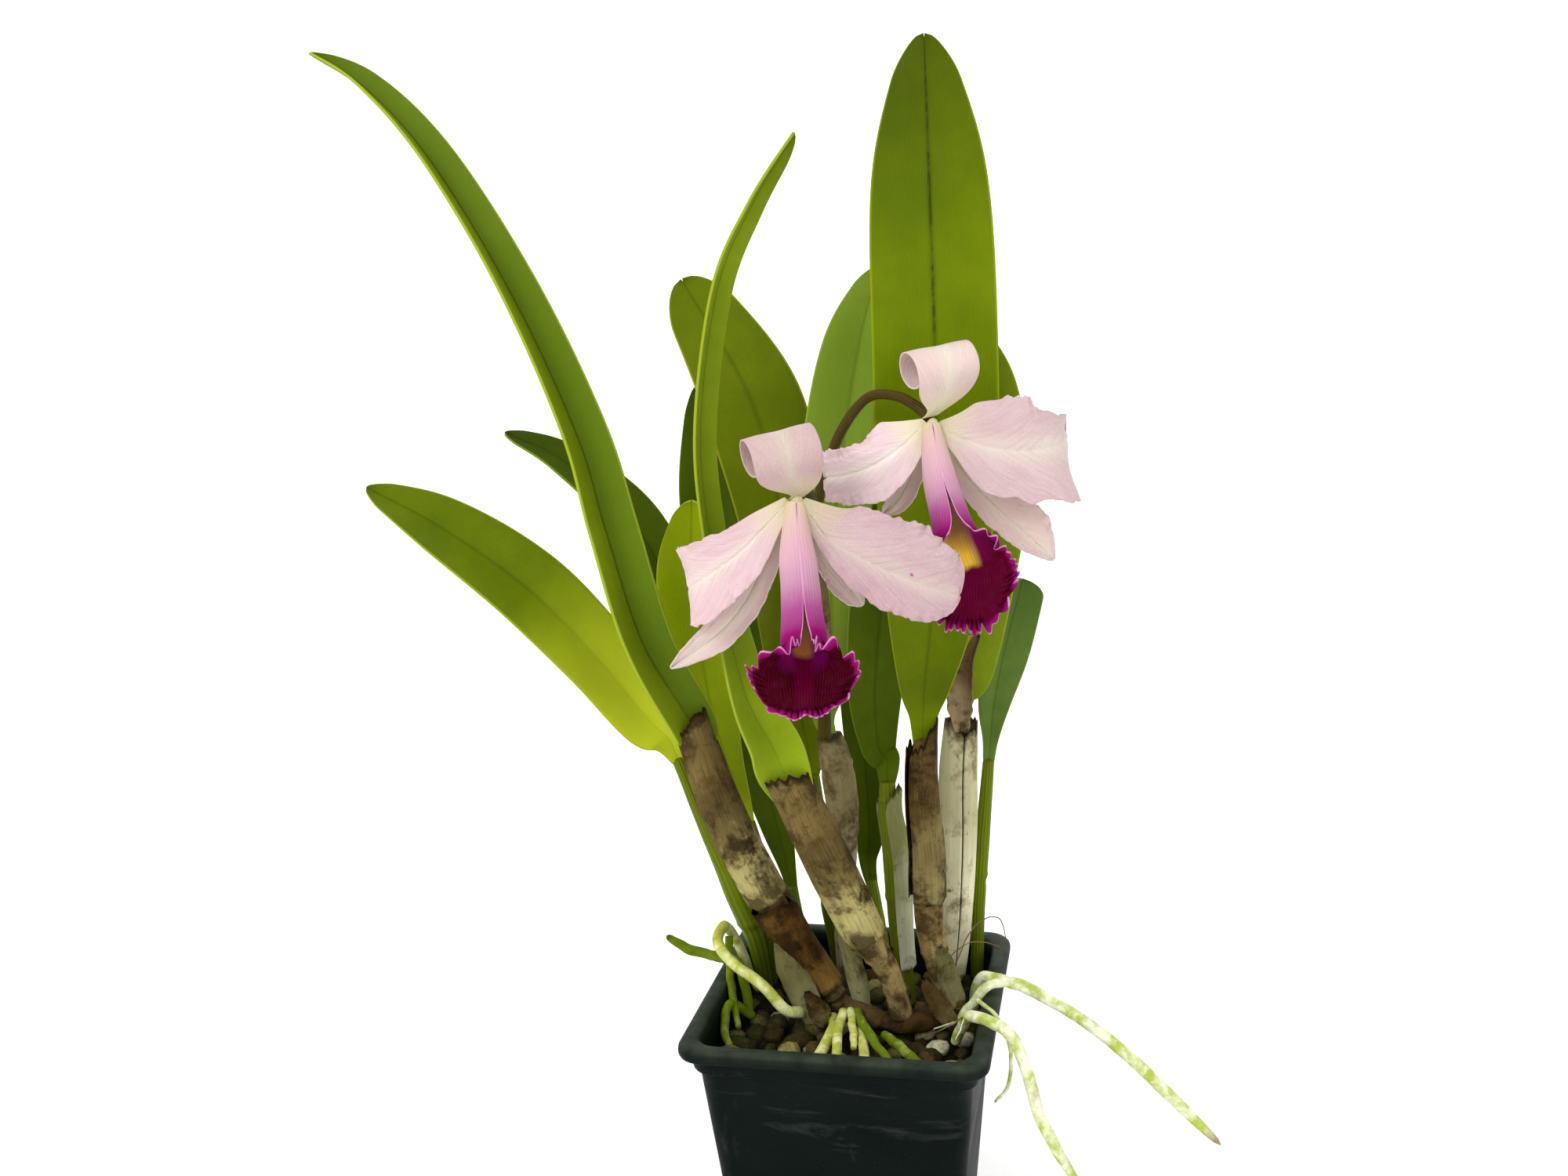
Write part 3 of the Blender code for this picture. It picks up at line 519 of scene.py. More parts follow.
@dataclass(frozen=True)
class PetalFinish:
    """Soft pale petal with fine veins, a cream middle line, a pink blush and painted glints."""

    name: str
    pale: Colour
    blush: Colour
    cream: Colour
    vein: float = 0.30
    blush_amount: float = 0.55

    def make(self) -> bpy.types.Material:
        """Wire the petal material.

        Returns:
            The finished material.
        """
        b = NodeBoard(self.name)
        soft = b.cloud(38, 3, 0.5)
        across = b.across()
        along = b.map_axis("Y")
        body = b.mix(b.ramp(soft, [(0.35, 0), (0.7, self.blush_amount)]), self.pale, self.blush)
        rim = b.times(b.ramp(across, [(0.3, 0), (0.9, 0.5)]), b.ramp(soft, [(0.3, 0.4), (0.7, 1)]))
        body = b.mix(rim, body, self.blush)
        middle = b.ramp(across, [(0.0, 0.9), (0.10, 0.55), (0.34, 0.0)])
        body = b.mix(middle, body, self.cream)
        foot = b.ramp(along, [(0.0, 1), (0.06, 0.85), (0.2, 0.0)])
        body = b.mix(foot, body, tuple(c * k for c, k in zip(self.cream, (0.95, 0.98, 0.72))))
        swept = b.maths("SUBTRACT", along, b.times(across, 0.42))
        join = b.node("ShaderNodeCombineXYZ")
        b.link(swept, join.inputs[0])
        b.link(b.map_axis("X"), join.inputs[1])
        feather = b.node("ShaderNodeMapping")
        feather.inputs["Scale"].default_value = (46, 3.4, 1)
        b.link(join.outputs[0], feather.inputs["Vector"])
        crossed = b.cloud(1.0, 4, 0.55, feather.outputs["Vector"], 0.4)
        veins = b.cloud(1.0, 3, 0.5, b.place((34, 2.2, 1), uv=True))
        lines = b.ramp(crossed, [(0.30, self.vein), (0.52, 0.0)])
        body = b.mix(lines, body, toned(self.blush, 0.72))
        body = b.lay(body, crossed, [(0.55, 0.0), (0.75, 0.35)],
                     tuple(min(1.12 * c, 0.95) for c in self.pale))
        # Painted glints: tiny near-white specks laid on the petal colour; the same cells give fine relief.
        glint_cells = b.cells(900)
        body = b.lay(body, glint_cells, [(0.0, 0.10), (0.4, 0.0)], (1, 0.97, 0.96))
        rough = b.ramp(soft, [(0.2, 0.52), (0.8, 0.68)])
        b.bump([(veins, 0.12), (crossed, 0.30), (glint_cells, 0.05), (middle, -0.3)])
        b.shader.inputs["Subsurface Weight"].default_value = 0.12
        b.shader.inputs["Subsurface Scale"].default_value = 0.002
        return b.finish(body, rough, 0.2, sheen=0.1)


@dataclass(frozen=True)
class LipFinish:
    """Lip: lilac tube that turns magenta, deep crimson midlobe, golden throat, bright frill."""

    name: str
    inside: bool
    gold: float = 0.60
    throat: Colour = (0.50, 0.20, 0.05)
    midlobe: Colour = (0.038, 0.0, 0.002)
    gold_width: float = 0.20

    def make(self) -> bpy.types.Material:
        """Wire the material for one of the lip's two faces.

        Returns:
            The finished material.
        """
        b = NodeBoard(self.name)
        across = b.across()
        along = b.map_axis("Y")
        cloud = b.cloud(60, 4, 0.55)
        shifted = b.maths("ADD", along, b.times(b.maths("SUBTRACT", cloud, 0.5), 0.10))
        lead = b.maths("ADD", shifted, b.times(b.ramp(across, [(0.35, 0), (1.0, 1)]), 0.05))
        tube = b.colours(lead, [
            (0.02, (0.60, 0.56, 0.26)), (0.08, (0.62, 0.45, 0.38)), (0.20, (0.58, 0.35, 0.40)),
            (0.31, (0.46, 0.23, 0.34)), (0.40, (0.33, 0.07, 0.22)), (0.50, (0.24, 0.004, 0.12)),
            (0.66, self.midlobe), (1.0, self.midlobe),
        ])
        if self.inside:
            throat = b.colours(shifted, [
                (0.25, (0.70, 0.50, 0.20)), (0.42, (0.50, 0.26, 0.09)),
                (self.gold - 0.05, toned(self.throat, 1.1)),
                (self.gold, self.throat), (self.gold + 0.03, (0.11, 0.0, 0.022)), (1.0, self.midlobe),
            ])
            gold = b.ramp(across, [(0.5 * self.gold_width, 1), (self.gold_width, 0)])
            tube = b.mix(gold, tube, throat)
        veins = b.stripes(70, 4.0, 0.6)
        tube = b.lay(tube, veins, [(0.6, 0), (1.0, 0.10)], (0.36, 0.01, 0.16))
        soft = b.cells(260)
        tube = b.lay(tube, soft, [(0.1, 0.03), (0.5, 0)], (0.45, 0.03, 0.24))
        low = b.ramp(along, [(0.50, 0), (0.62, 1)])
        side_edge = b.ramp(across, [(0.88, 0), (0.96, 0.75), (0.985, 1)])
        front_edge = b.ramp(along, [(0.94, 0), (0.975, 0.75), (0.99, 1)])
        edge = b.times(b.maths("MAXIMUM", side_edge, front_edge), low)
        tube = b.mix(edge, tube, (0.34, 0.006, 0.17))
        side_tip = b.ramp(across, [(0.984, 0), (0.996, 0.7)])
        front_tip = b.ramp(along, [(0.990, 0), (0.998, 0.8)])
        tip = b.maths("MAXIMUM", side_tip, b.times(front_tip, low))
        tube = b.mix(tip, tube, (0.74, 0.36, 0.58))
        rough = b.ramp(cloud, [(0.2, 0.46), (0.8, 0.64)])
        b.bump([(veins, 0.10), (b.cloud(240, 4, 0.6), 0.10), (soft, 0.06)])
        return b.finish(tube, rough, 0.025)


@dataclass(frozen=True)
class BarkyFinish:
    """Dry, fibrous skin of sheaths, bracts, old stems and rhizome."""

    name: str
    dark: Colour
    middle: Colour
    light: Colour
    blotch: float = 0.5
    tip: float = 0.5
    lines: float = 0.35
    rough: float = 0.8
    band: float = 0.0

    def make(self) -> bpy.types.Material:
        """Wire the dry skin material.

        Returns:
            The finished material.
        """
        b = NodeBoard(self.name)
        along = b.map_axis("Y")
        soft = b.cloud(42, 4, 0.55)
        broad = b.cloud(70, 8, 0.7, warp=0.25)
        fibres = b.cloud(1.0, 5, 0.6, b.place((110, 5, 1), uv=True))
        patch = b.maths("ADD", b.times(soft, 0.6), b.ramp(along, [(0.0, 0.32), (0.35, 0.26), (0.62, 0.0)]))
        body = b.mix(b.ramp(patch, [(0.34, 0), (0.66, 1)]), self.middle, self.light)
        body = b.lay(body, fibres, [(0.30, self.lines), (0.55, 0.0)], self.dark)
        body = b.lay(body, fibres, [(0.55, 0.0), (0.78, 0.5 * self.lines)], self.light)
        lead = b.ramp(along, [(0.0, 0.10), (0.12, 0.0), (0.72, 0.02), (0.93, 0.05 * self.tip),
                              (1.0, 0.16 * self.tip)])
        stain = b.ramp(b.maths("ADD", broad, lead),
                       [(0.56 - 0.10 * self.blotch, 0), (0.68 - 0.10 * self.blotch, 0.85)])
        body = b.mix(stain, body, self.dark)
        shifted = b.maths("ADD", along, b.times(b.maths("SUBTRACT", broad, 0.5), 0.9))
        band = b.ramp(shifted,
                      [(0.20, 0.0), (0.34, self.band), (0.52, 0.9 * self.band), (0.64, 0.15 * self.band)])
        band = b.times(band, b.ramp(soft, [(0.30, 0.55), (0.62, 1.0)]))
        body = b.mix(band, body, (0.34, 0.27, 0.22), "MULTIPLY")
        deep = b.ramp(b.cloud(210, 5, 0.7), [(0.62, 0), (0.70, 0.8)])
        body = b.mix(deep, body, toned(self.dark, 0.45))
        rim = b.ramp(along, [(0.965, 0), (0.985, 0.8 * self.tip)])
        body = b.mix(rim, body, toned(self.dark, 0.3))
        b.bump([(soft, 0.4), (fibres, 0.16), (broad, 0.35), (deep, -0.1)])
        return b.finish(body, b.ramp(soft, [(0.3, self.rough - 0.1), (0.7, self.rough + 0.12)]), 0.05)


@dataclass(frozen=True)
class StemFinish:
    """Green waxy pseudobulb or olive flower stalk with dull streaks."""

    name: str
    low: Colour
    high: Colour
    streak: Colour
    rough: float = 0.42

    def make(self) -> bpy.types.Material:
        """Wire the stem material.

        Returns:
            The finished material.
        """
        b = NodeBoard(self.name)
        broad = b.cloud(60, 4, 0.6)
        lines = b.stripes(26, 2.2, 0.5)
        body = b.colours(b.map_axis("Y"), [(0.0, self.low), (0.55, self.high), (1.0, self.high)])
        body = b.lay(body, broad, [(0.45, 0), (0.75, 0.7)], self.streak)
        body = b.lay(body, lines, [(0.5, 0), (1, 0.35)], toned(self.low, 0.6))
        specks = b.ramp(b.cells(600), [(0.0, 0.5), (0.14, 0)])
        body = b.mix(specks, body, toned(self.low, 0.4))
        b.bump([(lines, 0.25), (broad, 0.4), (b.cloud(300), 0.08)])
        return b.finish(body, b.ramp(broad, [(0.2, self.rough - 0.06), (0.8, self.rough + 0.16)]), 0.06)


@dataclass(frozen=True)
class RootFinish:
    """Aerial root: chalky velamen over green, with bare patches."""

    name: str
    green: Colour
    chalk: Colour
    brown: Colour
    chalky: float = 0.5

    def make(self) -> bpy.types.Material:
        """Wire the root material.

        Returns:
            The finished material.
        """
        b = NodeBoard(self.name)
        patch = b.cloud(120, 5, 0.62, warp=0.5)
        fine = b.cloud(520, 4, 0.6)
        body = b.mix(b.ramp(patch, [(0.62 - self.chalky * 0.3, 0), (0.80 - self.chalky * 0.3, 0.9)]),
                     self.green, self.chalk)
        body = b.lay(body, b.cloud(75, 4), [(0.60, 0), (0.74, 0.8)], self.brown)
        body = b.lay(body, fine, [(0.4, 0.3), (0.7, 0)], toned(self.green, 0.55))
        tip = b.ramp(b.map_axis("Y"), [(0.955, 0), (0.985, 0.8)])
        body = b.mix(tip, body, toned(self.brown, 0.8))
        b.bump([(patch, 0.35), (fine, 0.12)])
        return b.finish(body, b.ramp(patch, [(0.3, 0.5), (0.7, 0.8)]), 0.06)


@dataclass(frozen=True)
class BarkPieceFinish:
    """Loose bark, clay and pumice: one tone per piece from the tone attribute."""

    name: str

    def make(self) -> bpy.types.Material:
        """Wire the potting piece material.

        Returns:
            The finished material.
        """
        b = NodeBoard(self.name)
        tone = b.node("ShaderNodeAttribute", attribute_name="tone")
        base = b.colours(tone.outputs["Fac"], [
            (0.0, (0.008, 0.006, 0.002)), (0.22, (0.032, 0.018, 0.005)), (0.40, (0.020, 0.021, 0.003)),
            (0.58, (0.075, 0.042, 0.014)), (0.74, (0.085, 0.078, 0.018)), (0.88, (0.27, 0.23, 0.075)),
            (1.0, (0.60, 0.56, 0.38)),
        ])
        grit = b.cloud(420, 6, 0.7)
        broad = b.cloud(130, 4, 0.6)
        body = b.mix(b.ramp(grit, [(0.35, 0.65), (0.6, 0)]), base, (0.012, 0.010, 0.004))
        body = b.lay(body, broad, [(0.55, 0), (0.75, 0.5)], (0.09, 0.10, 0.02))
        body = b.lay(body, b.cells(800), [(0.0, 0.45), (0.18, 0)], (0.42, 0.38, 0.24))
        b.bump([(broad, 0.8), (grit, 0.35)])
        return b.finish(body, b.ramp(grit, [(0.3, 0.72), (0.7, 0.95)]), 0.1)


@dataclass(frozen=True)
class PotFinish:
    """Dark moulded plastic with faint ribs, scuffs and dried water marks."""

    name: str
    colour: Colour = (0.0017, 0.0040, 0.0031)

    def make(self) -> bpy.types.Material:
        """Wire the pot material.

        Returns:
            The finished material.
        """
        b = NodeBoard(self.name)
        broad = b.cloud(22, 4, 0.55)
        scuff = b.cloud(9, 7, 0.7, b.place((1.0, 1.0, 7.0)), 0.8)
        drops = b.cloud(70, 5, 0.6, b.place((1.0, 1.0, 0.25)))
        grain = b.cloud(900, 3, 0.6)
        body = b.mix(b.ramp(broad, [(0.3, 0), (0.7, 0.8)]), self.colour, toned(self.colour, 1.7))
        body = b.lay(body, scuff, [(0.60, 0), (0.72, 0.22)], (0.11, 0.12, 0.11))
        body = b.lay(body, drops, [(0.62, 0), (0.74, 0.20)], (0.10, 0.11, 0.095))
        specks = b.ramp(b.cells(330), [(0.0, 0.40), (0.06, 0)])
        body = b.mix(specks, body, (0.22, 0.21, 0.17))
        # Painted highlight along the top of the rim, where the light catches it, broken up by the drop
        # pattern.
        height = b.node("ShaderNodeSeparateXYZ")
        b.link(b.place(), height.inputs[0])
        rim_highlight = b.times(b.ramp(height.outputs["Z"], [(0.1130, 0), (0.1146, 0.85)]),
                       b.ramp(drops, [(0.35, 0.3), (0.65, 1)]))
        body = b.mix(rim_highlight, body, (0.095, 0.115, 0.080))
        rough = b.ramp(scuff, [(0.35, 0.42), (0.7, 0.62)])
        b.bump([(grain, 0.05), (broad, 0.5), (scuff, 0.06)])
        return b.finish(body, rough, 0.035)


@dataclass(frozen=True)
class FloorFinish:
    """Plain pale floor and backdrop."""

    name: str = "studio_floor"

    def make(self) -> bpy.types.Material:
        """Wire the floor material.

        Returns:
            The finished material.
        """
        b = NodeBoard(self.name)
        soft = b.cloud(1.5, 2, 0.5)
        body = b.mix(b.ramp(soft, [(0.3, 0), (0.7, 1)]), (0.93, 0.93, 0.925), (0.95, 0.95, 0.945))
        return b.finish(body, 0.9, 0.2)


class Skin(Enum):
    """Every finish on the object, made once each."""

    # Long leaf: painted shade along the blade, darkest at the foot, deep painted shade in the midrib crease,
    # and painted shade on the half of its fold that faces away from the light.
    LEAF_LONG = LeafFinish(
        "leaf_long", (0.135, 0.195, 0.003), (0.255, 0.335, 0.009), (0.34, 0.42, 0.03), specks=0.5,
        shade=[(0.0, 0.6), (0.14, 0.68), (0.26, 0.9), (0.5, 0.82), (1.0, 0.85)], painted_shade_half=(0.098, 0.165, 0.008),
        crease=0.95,
    )
    LEAF_TWISTED = LeafFinish("leaf_twisted", (0.115, 0.170, 0.003), (0.22, 0.30, 0.009), (0.32, 0.38, 0.03),
                              specks=0.5)
    LEAF_BROAD = LeafFinish(
        "leaf_broad", (0.062, 0.098, 0.0004), (0.145, 0.200, 0.0015), (0.34, 0.40, 0.02),
        foot=(0.90, 1.0, 0.04), foot_reach=0.58
    )
    LEAF_SUNNY = LeafFinish("leaf_sunny", (0.18, 0.25, 0.0008), (0.29, 0.37, 0.002), (0.38, 0.42, 0.02),
                            specks=0.9)
    LEAF_DULL = LeafFinish("leaf_dull", (0.16, 0.25, 0.016), (0.24, 0.34, 0.040), (0.34, 0.42, 0.05),
                           specks=0.1)
    LEAF_TALL = LeafFinish(
        "leaf_tall", (0.090, 0.142, 0.0002), (0.195, 0.270, 0.0006), (0.30, 0.36, 0.01),
        # painted shade and light along the blade: darker at the foot and near the tip, lighter in the middle
        shade=[(0.0, 0.6), (0.25, 0.55), (0.5, 1.12), (0.72, 0.78), (0.9, 0.46)], streak=0.85,
    )
    # Much darker copy of the leaf green, for leaves that stand behind the others: painted shade.
    LEAF_DEEP = LeafFinish("leaf_painted_shade", (0.029, 0.051, 0.0003), (0.080, 0.121, 0.0012), (0.22, 0.30, 0.02))
    LEAF_OLD = LeafFinish(
        "leaf_old", (0.070, 0.105, 0.0004), (0.150, 0.195, 0.002), (0.42, 0.42, 0.03), specks=0.9, yellow=0.9
    )
    LEAF_BLUE = LeafFinish("leaf_bluish", (0.05, 0.10, 0.014), (0.12, 0.19, 0.032), (0.24, 0.34, 0.05))
    LEAF_UNDER = LeafFinish(
        "leaf_underside", (0.115, 0.150, 0.004), (0.200, 0.240, 0.010), (0.34, 0.38, 0.03), specks=0.2,
        rough=0.5
    )
    PETAL = PetalFinish("petal_blush", (0.655, 0.505, 0.495), (0.60, 0.385, 0.43), (0.70, 0.60, 0.53))
    SEPAL = PetalFinish(
        "sepal_pale", (0.67, 0.545, 0.49), (0.60, 0.41, 0.42), (0.68, 0.61, 0.50), vein=0.2, blush_amount=0.35
    )
    # Darker copy of the petal colours: painted shade on the front flower's right petal.
    PETAL_DIM = PetalFinish("petal_painted_shade", (0.50, 0.375, 0.375), (0.46, 0.285, 0.325), (0.56, 0.47, 0.41))
    # A little darker copy of the petal colours: painted shade on the right flower's right petal.
    PETAL_SOFT = PetalFinish("petal_painted_half_shade", (0.555, 0.45, 0.43), (0.51, 0.34, 0.37), (0.60, 0.53, 0.46))
    # Lighter copy of the petal colours: painted light on the right flower's left petal.
    PETAL_BRIGHT = PetalFinish("petal_painted_light", (0.76, 0.62, 0.61), (0.70, 0.48, 0.53), (0.80, 0.71, 0.63))
    # Darker copy of the sepal colours: painted shade on the front flower's dorsal sepal.
    SEPAL_DIM = PetalFinish(
        "sepal_painted_shade", (0.535, 0.40, 0.375), (0.485, 0.30, 0.33), (0.57, 0.48, 0.40), vein=0.2,
        blush_amount=0.35
    )
    LIP_OUTSIDE = LipFinish("lip_outside", False)
    LIP_INSIDE = LipFinish("lip_inside", True, 0.50)
    LIP_OPEN = LipFinish("lip_open_inside", True, 0.63, (1.0, 0.66, 0.05), (0.072, 0.0, 0.010), 0.42)
    COLUMN = StemFinish("cream_column", (0.62, 0.62, 0.28), (0.82, 0.74, 0.62), (0.78, 0.72, 0.40), 0.4)
    STALK = StemFinish("olive_stalk", (0.055, 0.050, 0.003), (0.095, 0.062, 0.014), (0.05, 0.032, 0.008), 0.4)
    BULB = StemFinish("green_bulb", (0.085, 0.125, 0.0015), (0.13, 0.175, 0.002), (0.15, 0.13, 0.02))
    BULB_OLD = BarkyFinish(
        "pseudobulb_old", (0.030, 0.017, 0.005), (0.15, 0.088, 0.026), (0.30, 0.22, 0.085), 0.9, 0.2, 0.5
    )
    BULB_PALE = BarkyFinish("pseudobulb_pale", (0.08, 0.055, 0.02), (0.24, 0.20, 0.09), (0.46, 0.42, 0.26),
                            0.6, 0.8)
    SHEATH_BROWN = BarkyFinish(
        "sheath_brown", (0.036, 0.021, 0.006), (0.170, 0.118, 0.038), (0.44, 0.39, 0.150), 0.75, 1.0, 0.55,
        band=1.0
    )
    SHEATH_SILVER = BarkyFinish(
        "sheath_silver", (0.15, 0.11, 0.05), (0.47, 0.44, 0.26), (0.72, 0.69, 0.47), 0.25, 0.9, 0.25
    )
    SHEATH_LOW = BarkyFinish(
        "sheath_lower", (0.018, 0.009, 0.002), (0.085, 0.042, 0.009), (0.22, 0.13, 0.032), 1.0, 0.6, 0.5
    )
    SHEATH_DARK = BarkyFinish(
        "sheath_dark", (0.020, 0.011, 0.003), (0.085, 0.052, 0.015), (0.26, 0.21, 0.08), 0.9, 1.0, 0.55
    )
    SHEATH_GREEN = BarkyFinish(
        "sheath_greenish", (0.10, 0.10, 0.025), (0.24, 0.25, 0.085), (0.62, 0.62, 0.44), 0.0, 0.8, 0.3
    )
    SCRAP = BarkyFinish("old_scrap", (0.05, 0.040, 0.012), (0.15, 0.135, 0.050), (0.30, 0.29, 0.14), 0.4, 0.8,
                        0.45)
    SPATHE = BarkyFinish("spathe_dry", (0.045, 0.026, 0.012), (0.16, 0.10, 0.045), (0.36, 0.27, 0.14), 0.7)
    RHIZOME = BarkyFinish("rhizome_bark", (0.012, 0.007, 0.002), (0.055, 0.030, 0.009), (0.12, 0.08, 0.03),
                          0.9)
    ROOT = RootFinish("root_velamen", (0.42, 0.50, 0.075), (0.90, 0.90, 0.72), (0.24, 0.16, 0.04), 0.7)
    ROOT_YELLOW = RootFinish("root_yellowish", (0.44, 0.48, 0.06), (0.84, 0.86, 0.46), (0.26, 0.17, 0.03),
                             0.65)
    ROOT_MOSSY = RootFinish("root_mossy", (0.13, 0.19, 0.006), (0.38, 0.42, 0.09), (0.08, 0.06, 0.008), 0.25)
    BARK = BarkPieceFinish("bark_pieces")
    POT = PotFinish("moulded_plastic")
    FLOOR = FloorFinish()

    def material(self) -> bpy.types.Material:
        """Return this finish's material, made on first use."""
        return bpy.data.materials.get(self.value.name) or self.value.make()


def grid(columns: int, rows: int, shape: Shape, closed: bool = False) -> bmesh.types.BMesh:
    """Lay a grid on a formula, with a map that follows it.

    Args:
        columns: Faces across.
        rows: Faces along.
        shape: Gives the place in millimetres from across (-1 to 1) and along (0 to 1).
        closed: Whether the two long sides meet and are merged.

    Returns:
        The shaped mesh in metres.
    """
    bm = bmesh.new()
    bmesh.ops.create_grid(bm, x_segments=columns, y_segments=rows, size=1.0)
    layer = bm.loops.layers.uv.new("along")
    for face in bm.faces:
        for loop in face.loops:
            loop[layer].uv = ((loop.vert.co.x + 1) / 2, (loop.vert.co.y + 1) / 2)
    for vert in bm.verts:
        vert.co = shape(vert.co.x, (vert.co.y + 1) / 2) * MM
    if closed:
        bmesh.ops.remove_doubles(bm, verts=bm.verts[:], dist=1e-6)
    return bm


def hand_over(name: str, bm: bmesh.types.BMesh) -> bpy.types.Object:
    """Turn a mesh in metres into an object of the scene, and free it.

    Args:
        name: Name of the object.
        bm: Its mesh.

    Returns:
        The new object.
    """
    mesh = bpy.data.meshes.new(name)
    bm.to_mesh(mesh)
    bm.free()
    made = bpy.data.objects.new(name, mesh)
    bpy.context.scene.collection.objects.link(made)
    return made


def add_piece(
    name: str, bm: bmesh.types.BMesh, skins: Sequence[Skin], replaces: Sequence[str] = (),
    thickness: float = 0.0,
) -> bpy.types.Object:
    """Turn a mesh into a piece of the orchid.

    Args:
        name: Name of the piece.
        bm: Its mesh in metres; freed here.
        skins: Finish of its face and, for a sheet, of its back.
        replaces: Plain solids it stands for.
        thickness: Thickness of a sheet in millimetres; 0 leaves the mesh as it is.

    Returns:
        The new object.
    """
    for face in bm.faces:
        face.smooth = True
    made = hand_over(name, bm)
    for skin in skins:
        made.data.materials.append(skin.material())
    if thickness:
        wall = made.modifiers.new("wall", "SOLIDIFY")
        wall.thickness = thickness * MM
        wall.offset = 0.0
        wall.use_rim = True
        wall.material_offset = len(skins) - 1
    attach(made, "root")
    if replaces:
        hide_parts(*replaces)
    LOG.info("%s: %d faces", name, len(made.data.polygons))
    return made


def add_sheet(
    name: str, faces: tuple[int, int], shape: Shape, skins: Sequence[Skin],
    replaces: Sequence[str], thickness: float, look: Vector | None = None,
) -> bpy.types.Object:
    """Lay a sheet on a formula and give it a wall.

    Args:
        name: Name of the piece.
        faces: Faces across and along.
        shape: Gives the place in millimetres from across (-1 to 1) and along (0 to 1).
        skins: Finish of its face and of its back.
        replaces: Plain solids it stands for.
        thickness: Thickness of the sheet in millimetres.
        look: Direction its face looks in, where the two faces differ.

    Returns:
        The new object.
    """
    bm = grid(*faces, shape)
    bmesh.ops.recalc_face_normals(bm, faces=bm.faces[:])
    if look is not None:
        face_along(bm, look)
    return add_piece(name, bm, skins, replaces, thickness)


def cap_ends(bm: bmesh.types.BMesh) -> None:
    """Close the open ends of a tube and face it outwards."""
    bmesh.ops.holes_fill(bm, edges=[e for e in bm.edges if e.is_boundary], sides=0)
    bmesh.ops.recalc_face_normals(bm, faces=bm.faces[:])


def stack_rings(
    rings: Sequence[tuple[float, float]], corner: float, segments: int, cuts: int = 0,
) -> bmesh.types.BMesh:
    """Stack square rings with round corners and close the first and the last.

    Args:
        rings: Width and height of each ring in millimetres, in order.
        corner: Corner radius of the first ring.
        segments: Faces round each corner.
        cuts: Cuts across each long side; 0 leaves it whole.

    Returns:
        The closed mesh in metres.
    """
    bm = bmesh.new()
    bmesh.ops.create_grid(bm, x_segments=1, y_segments=1, size=rings[0][0] / 2)
    bmesh.ops.bevel(
        bm, geom=bm.verts[:], offset=corner, segments=segments, profile=0.5, affect="VERTICES", material=-1
    )
    if cuts:
        sides = [e for e in bm.edges if e.calc_length() > 2 * corner]
        bmesh.ops.subdivide_edges(bm, edges=sides, cuts=cuts)
    edges = bm.edges[:]
    bmesh.ops.delete(bm, geom=bm.faces[:], context="FACES_ONLY")
    bmesh.ops.translate(bm, vec=(0, 0, rings[0][1]), verts=bm.verts)
    for (before, low), (after, high) in zip(rings, rings[1:]):
        grown = bmesh.ops.extrude_edge_only(bm, edges=edges)["geom"]
        edges = [g for g in grown if isinstance(g, bmesh.types.BMEdge)]
        verts = [g for g in grown if isinstance(g, bmesh.types.BMVert)]
        bmesh.ops.scale(bm, vec=(after / before, after / before, 1), verts=verts)
        bmesh.ops.translate(bm, vec=(0, 0, high - low), verts=verts)
    cap_ends(bm)
    bmesh.ops.scale(bm, vec=(MM, MM, MM), verts=bm.verts)
    return bm


def face_along(bm: bmesh.types.BMesh, look: Vector) -> None:
    """Turn a sheet so that its faces look one way on the whole.

    Args:
        bm: The sheet's mesh.
        look: Direction its faces look in.
    """
    total = sum((face.normal * face.calc_area() for face in bm.faces), Vector())
    if total.dot(look) < 0:
        bmesh.ops.reverse_faces(bm, faces=bm.faces[:])


@dataclass
class Stem:
    """Pseudobulb: a swollen stem with joints, cut level where it meets the medium."""

    node: str
    points: Sequence[Point]
    radii: Sequence[float]
    joints: Sequence[float] = ()
    skin: Skin = Skin.BULB_OLD
    furrow: float = 0.03
    ridge: float = 0.42
    groove: float = 0.30
    lumps: float = 0.045
    top: float = 0.55

    def spine(self) -> Spine:
        """Return the centre line."""
        return Spine(self.points, [(0, -1, 0)])

    def radius(self, u: float, angle: float) -> float:
        """Work out the stem's radius at one place.

        Args:
            u: Place along the stem, from 0 to 1.
            angle: Angle round it, in radians.

        Returns:
            The radius in millimetres.
        """
        wide = smooth(self.radii, u)
        for joint in self.joints:
            wide += self.ridge * math.exp(-(((u - joint) / 0.012) ** 2))
            wide -= self.groove * math.exp(-(((u - joint + 0.03) / 0.02) ** 2))
        uneven = wander(math.cos(angle) * 1.2, math.sin(angle) * 1.2 + len(self.node), u * 9)
        return wide * (1 + self.furrow * math.sin(9 * angle + 2 * u) + self.lumps * uneven)

    def build(self) -> None:
        """Build and dress the stem."""
        spine = self.spine()

        def shape(across: float, along: float) -> Vector:
            """Return a point of the bark.

            Args:
                across: Place across, from -1 to 1.
                along: Place along, from 0 to 1.

            Returns:
                The point in millimetres.
            """
            place, _, side, out = spine.at(along)
            if along == 0.0 and self.points[0][2] < MEDIUM_LEVEL:
                side = Vector((1, 0, 0))
                out = Vector((0, -1, 0))
            angle = math.pi * across
            reach = self.radius(along, angle) * (self.top if along == 1.0 else 1.0)
            return place + (side * math.cos(angle) + out * math.sin(angle)) * reach

        bm = grid(*STEM_FACES, shape, closed=True)
        cap_ends(bm)
        add_piece(f"{self.node}_bark", bm, [self.skin], [self.node])


